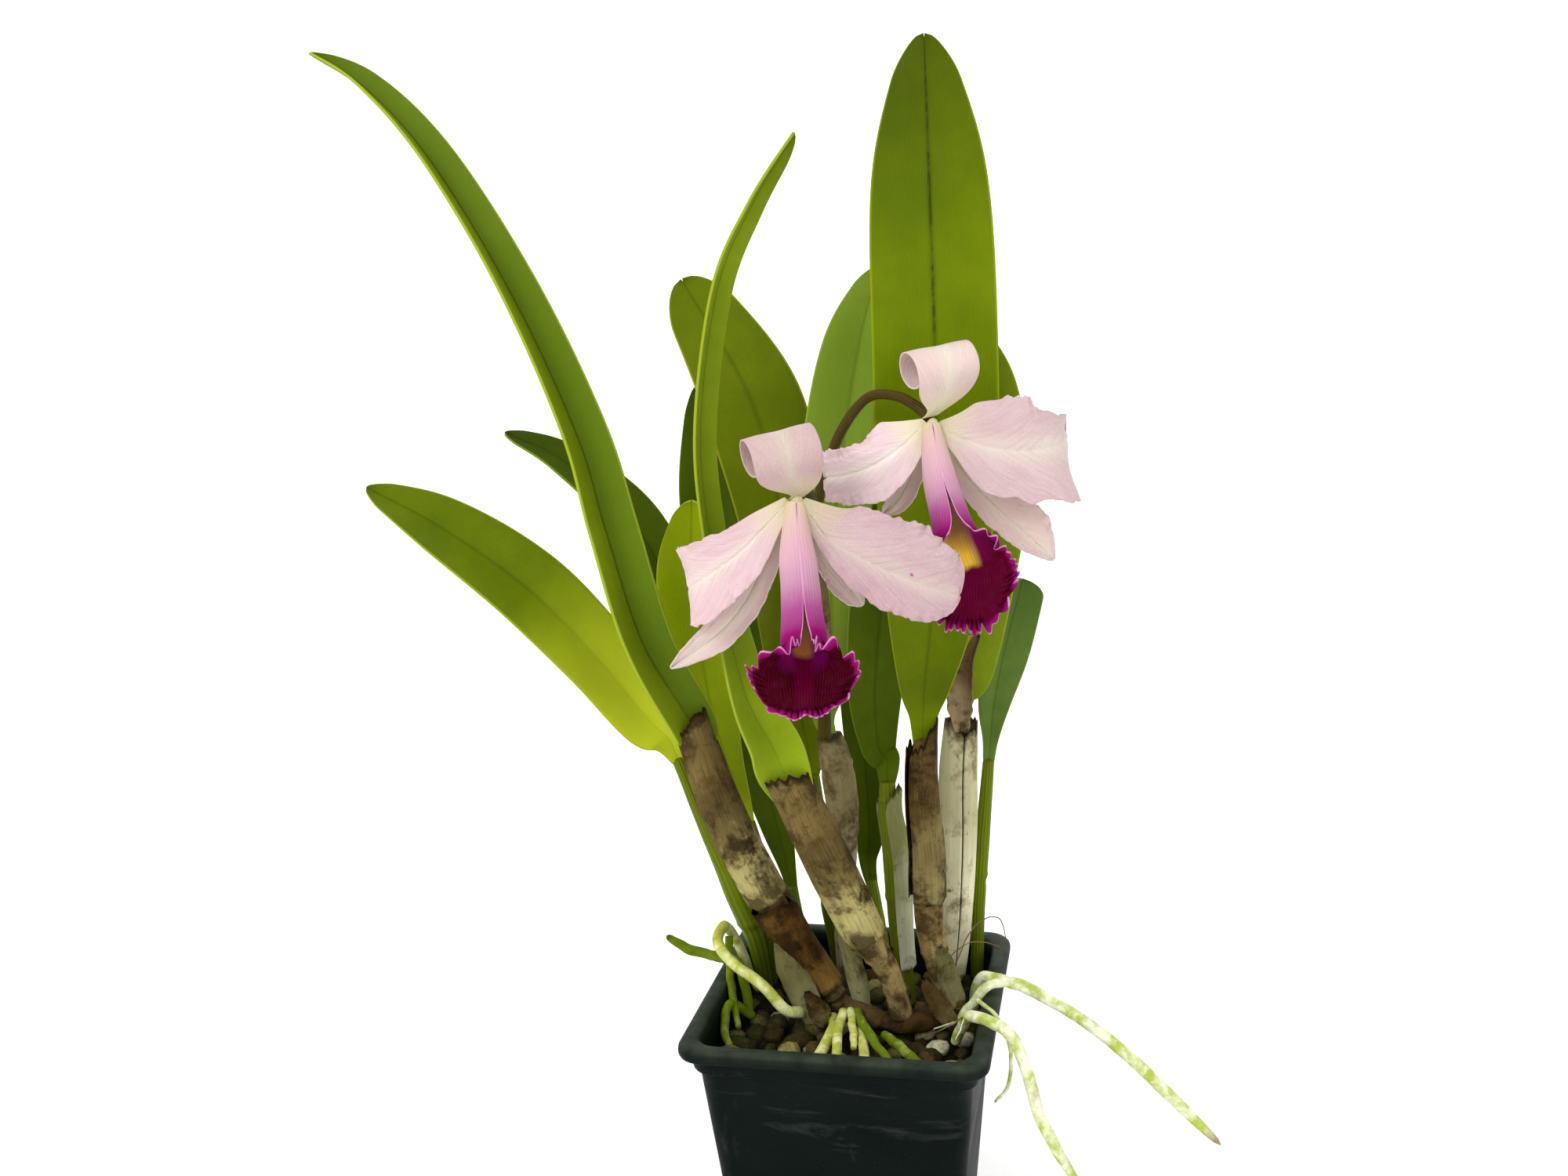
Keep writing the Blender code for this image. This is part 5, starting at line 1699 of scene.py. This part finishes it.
    def spread_leaves(self) -> None:
        """Build the leaves."""
        s = self.stems
        for leaf in (
            Leaf("long_left_leaf", s["front_left_pseudobulb"],
                 [(-76, -12, 263), (-87, -14, 308), (-96, -14, 346), (-119, -9, 398), (-151, 0, 450),
                  (-178, 5, 480), (-202, 8, 496)],
                 [6.4, 11, 15, 15.5, 14.4, 13.2, 11.6, 8.5, 2.4],
                 [(0.4, -0.9, 0.2), (0.6, -0.8, 0.3), (0.66, -0.6, 0.4), (0.42, -0.5, 0.7)], 50,
                 Skin.LEAF_LONG),
            Leaf("small_left_leaf", s["far_left_pseudobulb"],
                 [(-65, 40, 222), (-74, 39, 258), (-91, 35, 302), (-118, 29, 330), (-142, 26, 343)],
                 [3, 8, 10.5, 12, 12, 8.5, 3.0], [(0.3, -0.9, 0.1), (0.4, -0.8, 0.4), (0.3, -0.6, 0.8)], 22,
                 Skin.LEAF_DEEP),
            Leaf("broad_left_leaf", s["left_pseudobulb"],
                 [(-86, 18, 223), (-105, 14, 250), (-131, 8, 281), (-164, 2, 308), (-193, -1, 325)],
                 [3, 8, 14, 16.5, 17.5, 13.5, 4], [(0.4, -0.9, 0.2), (0.4, -0.75, 0.5), (0.3, -0.7, 0.6)], 20,
                 Skin.LEAF_BROAD),
            Leaf("speckled_short_leaf", s["short_back_pseudobulb"],
                 [(-53, 15, 210), (-58, 13, 240), (-61, 13, 285), (-60, 15, 315)],
                 [2.6, 4, 8, 13, 15, 6], [(0.2, -1, 0.1), (0.1, -1, 0.1), (0.1, -1, 0.2)], 16,
                 Skin.LEAF_SUNNY),
            Leaf("twisted_narrow_leaf", s["front_centre_pseudobulb"],
                 [(-22, -28, 227), (-31, -27, 245), (-38, -25, 273), (-43, -22, 302), (-46, -17, 345),
                  (-38, -11, 397), (-24, -8, 427), (-7, -5, 452)],
                 [8.5, 11, 12, 10.5, 9, 7.6, 7.2, 6.8, 5.6, 3.6],
                 [(0.2, -1, 0.1), (0.9, -0.5, 0.1), (0.9, -0.4, -0.3)], 34, Skin.LEAF_TWISTED),
            Leaf("notched_back_leaf", s["back_pseudobulb"],
                 [(-28, 50, 220), (-29, 51, 254), (-31, 51, 295), (-41, 48, 350), (-67, 44, 402)],
                 [3, 6, 11, 15, 18, 21, 12], [(0.2, -1, 0.1), (0.2, -1, 0.1), (0.3, -0.9, 0.3)], 12,
                 Skin.LEAF_OLD, notch=0.15),
            Leaf("tall_leaf", s["right_pseudobulb"],
                 [(33, 1, 242), (36, 4, 270), (39, 8, 313), (40, 10, 370), (39.5, 12, 436), (39, 14, 485)],
                 [3.8, 5.6, 10, 17, 23, 24, 21.5, 8], [(0.1, -1, 0.1), (0.15, -1, 0.1), (0.1, -1, 0.2)], 12,
                 Skin.LEAF_TALL, notch=0.25),
            Leaf("tall_back_leaf", s["flowering_pseudobulb"],
                 [(-10, 34, 240), (-8, 36, 281), (-3, 38, 325), (6, 40, 372), (15, 41, 403)],
                 [3, 5, 9, 15, 17, 15, 5], [(0.1, -1, 0.1), (0.1, -1, 0.1), (0.1, -1, 0.2)], 15,
                 Skin.LEAF_DULL),
            Leaf("right_back_leaf", s["silvery_pseudobulb"],
                 [(48, 36, 240), (52, 31, 280), (56, 27, 320), (55.5, 26, 355), (53, 27, 378)],
                 [3, 5, 9, 15, 17.5, 14, 5], [(0.2, -1, 0.1), (0.3, -1, 0.1), (0.2, -1, 0.2)], 15,
                 Skin.LEAF_TWISTED),
            Leaf("low_right_leaf", s["slender_right_pseudobulb"],
                 [(55, 51, 221), (60, 50, 245), (68, 50, 275)],
                 [2.2, 3.5, 7, 11, 10.5], [(0.3, -1, 0.1), (0.4, -1, 0.1), (0.4, -0.9, 0.2)], 15,
                 Skin.LEAF_BLUE),
            Leaf("low_centre_leaf", s["centre_pseudobulb"],
                 [(11, 19, 213), (11, 18, 240), (17, 18, 285), (26, 20, 335)],
                 [3, 5.5, 7.6, 11.6, 13, 5], [(0.1, -1, 0.1), (0.15, -1, 0.1), (0.2, -1, 0.2)], 14,
                 Skin.LEAF_DEEP),
            Leaf("narrow_back_leaf", s["back_right_pseudobulb"],
                 [(-1, 57, 165), (-3, 60, 217), (-7, 64, 286), (-10, 68, 366)],
                 [2.6, 4, 7, 9, 9, 3], [(0.1, -1, 0.1), (0.1, -1, 0.1), (0.1, -1, 0.1)], 15, Skin.LEAF_DEEP),
            Leaf("dark_back_leaf", s["dark_back_pseudobulb"],
                 [(-42, 54, 165), (-50, 58, 200), (-59, 62, 251), (-66, 64, 310), (-69, 64, 357)],
                 [2.6, 4, 8, 13, 16, 14, 4], [(0, -1, 0.1), (-0.1, -1, 0.1), (-0.1, -1, 0.1)], 12,
                 Skin.LEAF_DEEP),
        ):
            leaf.build()

    def run_roots(self) -> None:
        """Build the aerial and surface roots."""
        for name, skin, points, radii in (
            ("left_looping_root", Skin.ROOT_YELLOW,
             [(-18, -2, 104), (-25, -14, 110), (-34, -15, 121), (-46, -12, 128), (-54, -8, 135),
              (-54, 2, 138),
              (-51, 10, 128), (-48, 16, 112), (-44, 18, 101)], [2.2, 2.3, 2.3, 2.2, 2.3, 2.2, 2.1, 2.0, 1.8]),
            ("left_reaching_root", Skin.ROOT_MOSSY,
             [(-44.5, -1, 101), (-47, 4, 111), (-51, 8, 118.6), (-58, 11, 119.4), (-66, 13, 120),
              (-74, 12, 122.5), (-82, 10, 129)], [2.0, 2.1, 2.2, 2.2, 2.1, 2.2, 1.4]),
            ("right_long_root", Skin.ROOT,
             [(48, 10, 102.5), (48.6, 10, 110), (52, 7.5, 118.6), (59, 4, 119.8), (68, 0, 119.8),
              (83, -4, 114), (98, -8, 106), (113, -13, 96), (128, -17, 83), (144, -22, 69)],
             [2.1, 2.2, 2.2, 2.3, 2.4, 2.3, 2.3, 2.4, 2.3, 1.4]),
            ("right_hanging_root", Skin.ROOT,
             [(43, -14, 101.2), (46, -19, 110), (50, -25, 118), (58, -31, 119.8), (67, -36, 116.5),
              (73, -42, 105), (77, -46, 92), (83, -48, 80), (93, -50, 62)],
             [2.0, 2.2, 2.3, 2.3, 2.4, 2.3, 2.3, 2.2, 1.3]),
            ("front_left_root", Skin.ROOT_YELLOW,
             [(-8, -4, 103.4), (-6, -18, 104.6), (-8, -34, 103), (-9, -46, 101.9)], [2.0, 2.2, 2.2, 1.5]),
            ("front_middle_root", Skin.ROOT_YELLOW,
             [(3, -8.6, 103.4), (7, -22, 104.6), (10, -36, 103), (11, -47, 101.9)], [2.0, 2.1, 2.0, 1.5]),
            ("front_right_root", Skin.ROOT_MOSSY,
             [(15, -17, 103.4), (22, -26, 104.6), (31, -36, 103), (37, -45, 101.8)], [1.9, 2.0, 1.9, 1.4]),
        ):
            Rod(name, points, radii, skin, "root_skin").build()


@dataclass
class Litter:
    """Old papery scraps, small roots and hair roots about the feet of the stems."""

    def scrap(
        self, name: str, points: Sequence[Point], widths: Sequence[float], look: Point, skin: Skin,
    ) -> None:
        """Build one curled scrap of old sheath.

        Args:
            name: Name of the scrap.
            points: Its middle line, in millimetres.
            widths: Half widths along the line.
            look: Direction its outside looks in.
            skin: Its finish.
        """
        spine = Spine(points, [look])
        seed = points[0][0]

        def shape(across: float, along: float) -> Vector:
            """Return a point of the scrap.

            Args:
                across: Place across, from -1 to 1.
                along: Place along, from 0 to 1.

            Returns:
                The point in millimetres.
            """
            torn = 0.12 * wander(across * 4, seed) + 0.06 * across * across
            place, _, side, out = spine.at(along * (1 - torn))
            half = smooth(widths, along) * (1 + 0.12 * wander(along * 8, across, seed))
            curl = -0.5 * half * across * across + 0.5 * wander(across * 4, along * 5, seed)
            return place + side * half * across + out * curl

        add_sheet(name, SCRAP_FACES, shape, [skin, skin], (), SCRAP_THICK)

    def thread(self, name: str, points: Sequence[Point], radius: float, skin: Skin) -> None:
        """Build one thin root or thread.

        Args:
            name: Name of the thread.
            points: Its line, in millimetres.
            radius: Its radius.
            skin: Its finish.
        """
        radii = [radius, radius, radius * 0.95, radius * 0.7]
        Rod(name, points, radii, skin, "root_skin", wiggle=0.5, rows=70, sides=12, replaces=False).build()

    def build(self) -> None:
        """Build every scrap and thread."""
        brown = Skin.SHEATH_DARK
        for name, points, widths, look, skin in (
            ("scrap_left_tall", [(-15, -7, 101), (-19, -8, 113), (-25, -8, 127), (-30, -6, 139)],
             [4, 6, 5.5, 2], (0.2, -1, 0.3), Skin.SCRAP),
            ("scrap_left_low", [(-10, -9, 101), (-12, -12, 109), (-17, -14, 119)], [3, 4.5, 1.5],
             (0.4, -1, 0.2), brown),
            ("scrap_behind", [(-26, 14, 101), (-28, 12, 120), (-31, 10, 146), (-35, 10, 156)], [4, 6.5, 6, 2],
             (0.2, -1, 0.1), Skin.SCRAP),
            ("scrap_middle", [(3, 0, 103), (1, -2, 120), (-3, -3, 141), (-5, -3, 150)], [3.5, 4.6, 4, 1.2],
             (-0.2, -1, 0.1), Skin.SCRAP),
            ("scrap_right", [(43, -5, 102), (37, -8, 112), (30, -10, 125)], [2.5, 4, 2], (0.5, -1, 0.4),
             brown),
            ("scrap_centre_right", [(21, -1, 101), (19, -4, 114), (16, -5, 128), (17, -5, 136)],
             [3, 4.6, 3.5, 1], (0.1, -1, 0.1), brown),
            ("scrap_far_right", [(44, 2, 101), (42, -2, 113), (38.5, -4, 130), (37, -5, 137)],
             [2.5, 4.4, 3.6, 1.2], (0.4, -1, 0.1), Skin.SCRAP),
        ):
            self.scrap(name, points, widths, look, skin)
        for name, points, radius, skin in (
            ("mossy_root_one",
             [(-43, -3, 101), (-48, -8, 108), (-50, -14, 110), (-49, -24, 104), (-45, -30, 101)], 1.9,
             Skin.ROOT_MOSSY),
            ("mossy_root_two", [(-52, 2, 134), (-51, -4, 121), (-48.5, -9, 110), (-45, -17, 102)], 1.7,
             Skin.ROOT_MOSSY),
            ("knot_root_one", [(-3, -8, 108), (-3, -20, 106.5), (-1, -34, 105), (2, -46, 102.5)], 2.0,
             Skin.ROOT_YELLOW),
            ("knot_root_two", [(2, -7, 108), (6, -16, 108), (13, -28, 106.5), (23, -42, 103.5)], 1.9,
             Skin.ROOT_MOSSY),
            ("knot_root_three", [(0, -8, 109), (2, -17, 108), (4, -25, 106), (5, -31, 104.5)], 1.6,
             Skin.ROOT_YELLOW),
            ("second_right_root",
             [(43, -2, 104), (49, -3, 112), (54, -3, 119.4), (62, -1, 121), (72, -2, 118), (81, -4, 114.6)],
             1.9, Skin.ROOT),
            ("thin_loop_root",
             [(52, -12, 118.5), (60, -22, 117), (66, -30, 108), (65, -36, 96), (60, -38, 90)], 0.8,
             Skin.ROOT),
            ("hair_one", [(38, 30, 112), (46, 34, 128), (56, 36, 132), (60, 34, 122)], 0.25, Skin.SPATHE),
            ("hair_two", [(30, 20, 112), (44, 22, 126), (56, 26, 124), (58, 30, 118)], 0.22, Skin.SPATHE),
            ("hair_three", [(30, -22, 106), (42, -26, 114), (50, -24, 119), (54, -18, 117)], 0.35,
             Skin.SPATHE),
            ("hair_four", [(34, -10, 104), (44, -18, 112), (48, -28, 118), (45, -34, 112)], 0.3, Skin.ROOT),
        ):
            self.thread(name, points, radius, skin)


@dataclass
class Blooms:
    """The two flowers and the stalk that carries them."""

    def column(self, node: str, points: Sequence[Point]) -> None:
        """Build the column at the heart of a flower.

        Args:
            node: Name of its node.
            points: Its line, in millimetres.
        """
        radii = [1.9, 2.3, 2.1, 1.4]
        Rod(node, points, radii, Skin.COLUMN, "column_cream", (0, -1, 0.3), 0.0, 0.03, 40).build()

    def front(self) -> None:
        """Build the front flower."""
        Petal("front_flower_left_petal",
              [(-5.4, -51.2, 324.6, 2, 2), (-14.1, -53, 315.8, 6.5, 6.5), (-22.7, -54.5, 307.5, 10.5, 9.5),
               (-31.7, -54.5, 301.1, 12.5, 12), (-39.7, -52, 296, 14, 14), (-45.5, -45, 292.2, 15, 14.5),
               (-46.4, -36, 289.9, 13, 13)],
              [(-0.1, -0.9, 0.4), (0.1, -1, 0.2), (-0.2, -1, 0.1), (-0.9, -0.5, 0.1)], 4, 1.5,
              slant=0.03).build()
        Petal("front_flower_right_petal",
              [(-0.8, -51.3, 324.5, 2, 2), (8.4, -54, 312.1, 14, 4.5), (21.6, -57, 304.6, 18, 11),
               (34.7, -59, 298.8, 19, 12.5), (45.3, -58.5, 294.4, 16, 12), (54, -55, 291.5, 12, 8)],
              [(0.2, -0.9, 0.4), (0.0, -1, 0.2), (-0.1, -1, 0.1)], 4, 2.3, Skin.PETAL_DIM).build()
        Petal("front_flower_left_sepal",
              [(-5.6, -47.9, 322, 1.8, 1.8), (-15.3, -47, 303.4, 5.5, 5.5), (-24.9, -45, 286.9, 6.5, 6),
               (-37.7, -42, 273.3, 6, 6), (-56.5, -38, 260.2, 1.6, 1.6)],
              [(-0.1, -1, 0.1), (0.0, -1, 0.1), (0.2, -1, 0.1)], 14, 0.3, Skin.SEPAL, "sepal_pink").build()
        Petal("front_flower_right_sepal",
              [(-1.5, -47.9, 322, 1.6, 1.6), (4, -47.5, 306.2, 4.5, 2.8), (11.9, -47, 295.3, 5, 5.5),
               (18.4, -46, 285.9, 2, 2.5)],
              [(0.1, -1, 0.1), (0.0, -1, 0.1), (0.0, -1, 0.1)], 12, 0.8, Skin.SEPAL, "sepal_pink").build()
        Scroll("front_flower_dorsal_sepal", (-3.8, -48, 324.8), (-19.2, -54, 339.1), (2.2, -41, 342.4), 9.0,
               9.4, 0.9, Skin.SEPAL_DIM).build()
        Lip("front_flower_lip",
            [(-4.2, -48, 322.5, 9.5, 176), (-3.6, -52.5, 312.5, 15, 180.5), (-2.5, -57.5, 303, 19.5, 180.5),
             (-1.2, -61.5, 295, 20.5, 180.2), (-0.2, -65.5, 287, 21.5, 178.4), (0.8, -69.3, 278.5, 23, 171),
             (1.8, -73, 272.4, 22.6, 162), (2.6, -76.4, 268.8, 22.4, 138), (3.4, -79.8, 266.2, 20, 50),
             (4.1, -83.4, 263.6, 18.4, 14), (4.8, -86.8, 260, 16.4, 2), (5.4, -89.2, 256, 14, -8)],
            [(0.34, -0.88, 0.4), (0.3, -0.86, 0.44), (0.05, -0.8, 0.6)]).build()
        self.column("front_flower_column",
                    [(-3, -46.2, 324), (-3, -51, 322.5), (-2.6, -57, 317), (-2, -61.5, 310)])

    def right(self) -> None:
        """Build the right flower."""
        Petal("right_flower_left_petal",
              [(39.8, -21.8, 347.8, 1.8, 1.8), (31.2, -24, 339.3, 8.6, 11.5), (21, -24.5, 333.1, 13, 9.7),
               (10.5, -23, 329.4, 11, 9.7), (3.3, -19, 328.1, 9, 10), (0.7, -12, 326.8, 8, 9)],
              [(0.0, -1, 0.3), (0.1, -1, 0.2), (-0.2, -1, 0.1), (-0.8, -0.6, 0)], 4, 1.3, Skin.PETAL_BRIGHT,
              folds=10).build()
        Petal("right_flower_right_petal",
              [(44.2, -22.8, 346.5, 1.8, 1.8), (52.6, -26, 342.1, 13, 6), (65.1, -28, 338.3, 17.7, 15.5),
               (77, -28, 337.2, 19.5, 17.5), (84.8, -25, 338.2, 15, 20), (88.6, -19, 339.5, 10.5, 21.5),
               (88.2, -11, 340, 9, 21)],
              [(0.1, -1, 0.2), (0.1, -1, 0.1), (0.3, -1, 0.0), (0.9, -0.4, 0)], 4, 0.8, Skin.PETAL_SOFT,
              slant=0.03).build()
        Petal("right_flower_left_sepal",
              [(40.4, -19.8, 345, 1.5, 1.5), (34.2, -17.5, 329.8, 4.5, 4.5), (27.8, -16, 318.7, 4.5, 4),
               (22.1, -14, 313.8, 1.5, 1.5)],
              [(0.0, -1, 0.1), (0.0, -1, 0.1), (0.2, -1, 0.1)], 10, 0.35, Skin.SEPAL, "sepal_pink").build()
        Petal("right_flower_right_sepal",
              [(43.6, -19.8, 344.2, 1.6, 1.6), (54, -17, 326.5, 6, 5), (65, -16, 314.6, 8, 6.8),
               (74.8, -17, 305.4, 10, 6), (84.3, -19, 296.5, 2.5, 1.5)],
              [(0.1, -1, 0.1), (0.1, -1, 0.1), (0.1, -1, 0.2)], 10, 0.8, Skin.SEPAL, "sepal_pink").build()
        Scroll("right_flower_dorsal_sepal", (41.0, -19.6, 349.4), (34.2, -24, 365.4), (54.4, -10, 368.4), 8.8,
               8.2).build()
        Lip("right_flower_lip",
            [(41.2, -20.5, 345.5, 9.5, 176), (42.6, -25, 335.5, 14.5, 180.5), (44.4, -29.5, 326, 18, 180),
             (46.4, -32.5, 318.5, 19.2, 176), (48.4, -35.5, 311.5, 20, 169), (50.2, -38.2, 305.5, 20.5, 145),
             (52.2, -41, 300, 20.5, 95), (53.9, -43.6, 294.5, 19.5, 40), (54.9, -45.6, 288.6, 18.5, 14),
             (55.2, -47, 282.3, 17, 2), (54.8, -47.6, 276, 14.5, -8)],
            [(0.25, -0.92, 0.3), (0.35, -0.9, 0.3), (0.15, -0.95, 0.3)], inside=Skin.LIP_OPEN).build()
        self.column("right_flower_column",
                    [(42, -18.8, 347.2), (42.4, -22.5, 345.5), (44.5, -28.5, 339.5), (46.2, -33, 333)])

    def stalk(self) -> None:
        """Build the flower stalk, its branch, its spathe and the old bract."""
        Rod("flower_stalk",
            [(-12, 23.5, 214), (-11, 21, 240), (-11, 14, 275), (-8, 6, 308), (-1, 3, 331), (7, -1, 346),
             (17, -5, 356), (29, -10, 356), (37.6, -13.6, 351), (40.6, -16.6, 348.4)],
            [2.8, 2.6, 2.4, 2.2, 2.0, 2.0, 1.9, 1.9, 2.0, 2.2], Skin.STALK, "stalk_olive", (0.3, -0.9, 0.2),
            0.1, 0.04, 140).build()
        Rod("stalk_branch",
            [(-8.4, 7, 306), (-6, -8, 318), (-5, -25, 325), (-4, -38, 326), (-3, -45.8, 324.4)],
            [1.6, 1.9, 1.9, 2.0, 2.2], Skin.STALK, "stalk_olive", (1, 0, 0), 0.1, 0.04, 60,
            replaces=False).build()
        spine = Spine([(-11.4, 22, 232), (-11, 16, 266), (-9.2, 9, 297)], [(0.5, 0.8, 0.1)])

        def spathe(across: float, along: float) -> Vector:
            """Return a point of the spathe.

            Args:
                across: Place across, from -1 to 1.
                along: Place along, from 0 to 1.

            Returns:
                The point in millimetres.
            """
            place, _, side, out = spine.at(along * (1 - 0.08 * across * across))
            arc = math.radians(140 - 50 * along * along) * across
            reach = smooth([3.7, 5.0, 4.2], along) + 0.3 * wander(across * 4, along * 4)
            return place + (side * math.sin(arc) - out * math.cos(arc)) * reach

        skins = [Skin.SPATHE, Skin.SPATHE]
        add_sheet(
            "flower_spathe_paper", SPATHE_FACES, spathe, skins, ["flower_spathe"], SCRAP_THICK
        )
        bract = Spine([(43.3, 31.7, 215), (44, 28, 229), (47, 23, 245), (53, 19, 259)],
                      [(0.3, -1, 0), (-0.6, -0.8, 0)])

        def dry(across: float, along: float) -> Vector:
            """Return a point of the old bract.

            Args:
                across: Place across, from -1 to 1.
                along: Place along, from 0 to 1.

            Returns:
                The point in millimetres.
            """
            place, _, side, out = bract.at(along)
            half = smooth([2.5, 4.6, 5.2, 3.4, 1.0], along) * (1 + 0.2 * wander(along * 9, across))
            curl = half * 0.55 * across * across + 0.5 * wander(across * 3, along * 7)
            return place + side * half * across + out * curl

        add_sheet("dry_bract_paper", BRACT_FACES, dry, skins, ["dry_bract"], SCRAP_THICK)


@dataclass
class Studio:
    """Pale floor with a swept back, soft lights and the camera."""

    half_width: float = 5.0
    front: float = -3.5
    depth: float = 9.0
    bend_start: float = 1.0
    bend: float = 0.9
    eye: Point = (0.1112, -0.5664, 0.405)
    yaw: float = 13.09
    pitch: float = 11.91
    roll: float = -2.97
    lens: float = 34.992

    def sweep(self) -> None:
        """Build the floor that curves up behind."""
        bm = bmesh.new()
        bmesh.ops.create_grid(bm, x_segments=2, y_segments=60, size=1.0)
        for vert in bm.verts:
            x = vert.co.x * self.half_width
            past = self.front + self.depth * (vert.co.y + 1) / 2 - self.bend_start
            if past < 0:
                vert.co = Vector((x, self.bend_start + past, 0))
            else:
                angle = min(past / self.bend, math.pi / 2)
                rise = max(past - self.bend * math.pi / 2, 0.0) + self.bend * (1 - math.cos(angle))
                vert.co = Vector((x, self.bend_start + self.bend * math.sin(angle), rise))
        bmesh.ops.recalc_face_normals(bm, faces=bm.faces[:])
        face_along(bm, Vector((0, 0, 1)))
        for face in bm.faces:
            face.smooth = True
        floor = hand_over("floor", bm)
        floor.data.materials.append(Skin.FLOOR.material())

    def lamp(self, name: str, place: Point, aim: Point, size: float, power: float) -> None:
        """Hang one soft light.

        Args:
            name: Name of the light.
            place: Where it hangs, in metres.
            aim: What it points at.
            size: Side of the light, in metres.
            power: Watts.
        """
        data = bpy.data.lights.new(name, "AREA")
        data.shape = "SQUARE"
        data.size = size
        data.energy = power
        made = bpy.data.objects.new(name, data)
        made.location = place
        made.rotation_euler = (Vector(aim) - Vector(place)).to_track_quat("-Z", "Y").to_euler()
        bpy.context.scene.collection.objects.link(made)

    def camera(self) -> None:
        """Set the camera where the photograph was taken from."""
        yaw, pitch, roll = (math.radians(a) for a in (self.yaw, self.pitch, self.roll))
        ahead = Vector((-math.sin(yaw) * math.cos(pitch), math.cos(yaw) * math.cos(pitch), -math.sin(pitch)))
        level = Vector((math.cos(yaw), math.sin(yaw), 0))
        up = level.cross(ahead)
        right = level * math.cos(roll) + up * math.sin(roll)
        top = up * math.cos(roll) - level * math.sin(roll)
        data = bpy.data.cameras.new("camera")
        data.sensor_width = 36.0
        data.lens = self.lens
        data.clip_start = 0.01
        made = bpy.data.objects.new("camera", data)
        turn = Matrix((right, top, -ahead)).transposed()
        made.matrix_world = Matrix.Translation(self.eye) @ turn.to_4x4()
        bpy.context.scene.collection.objects.link(made)
        bpy.context.scene.camera = made

    def build(self) -> None:
        """Set up the whole studio."""
        scene = bpy.context.scene
        self.sweep()
        world = bpy.data.worlds.new("studio")
        world.use_nodes = True
        world.node_tree.nodes["Background"].inputs["Color"].default_value = (1.0, 1.0, 1.0, 1)
        world.node_tree.nodes["Background"].inputs["Strength"].default_value = 1.0
        scene.world = world
        self.lamp("key", (-0.9, -1.3, 1.6), (0, 0, 0.25), 1.0, 20)
        self.lamp("fill", (1.3, -1.1, 0.9), (0, 0, 0.25), 1.2, 6)
        self.lamp("back", (0.3, 0.9, 1.7), (0, 1.9, 0.9), 1.2, 20)
        scene.view_settings.view_transform = "Standard"
        self.camera()


def main() -> None:
    """Build the orchid piece by piece and report each one."""
    logging.basicConfig(level=logging.INFO, format="%(message)s")
    Pot().build()
    Medium().build()
    plant = Plant()
    plant.grow_stems()
    plant.wrap_sheaths()
    plant.spread_leaves()
    plant.run_roots()
    Litter().build()
    blooms = Blooms()
    blooms.front()
    blooms.right()
    blooms.stalk()
    Studio().build()


if __name__ == "__main__":
    main()
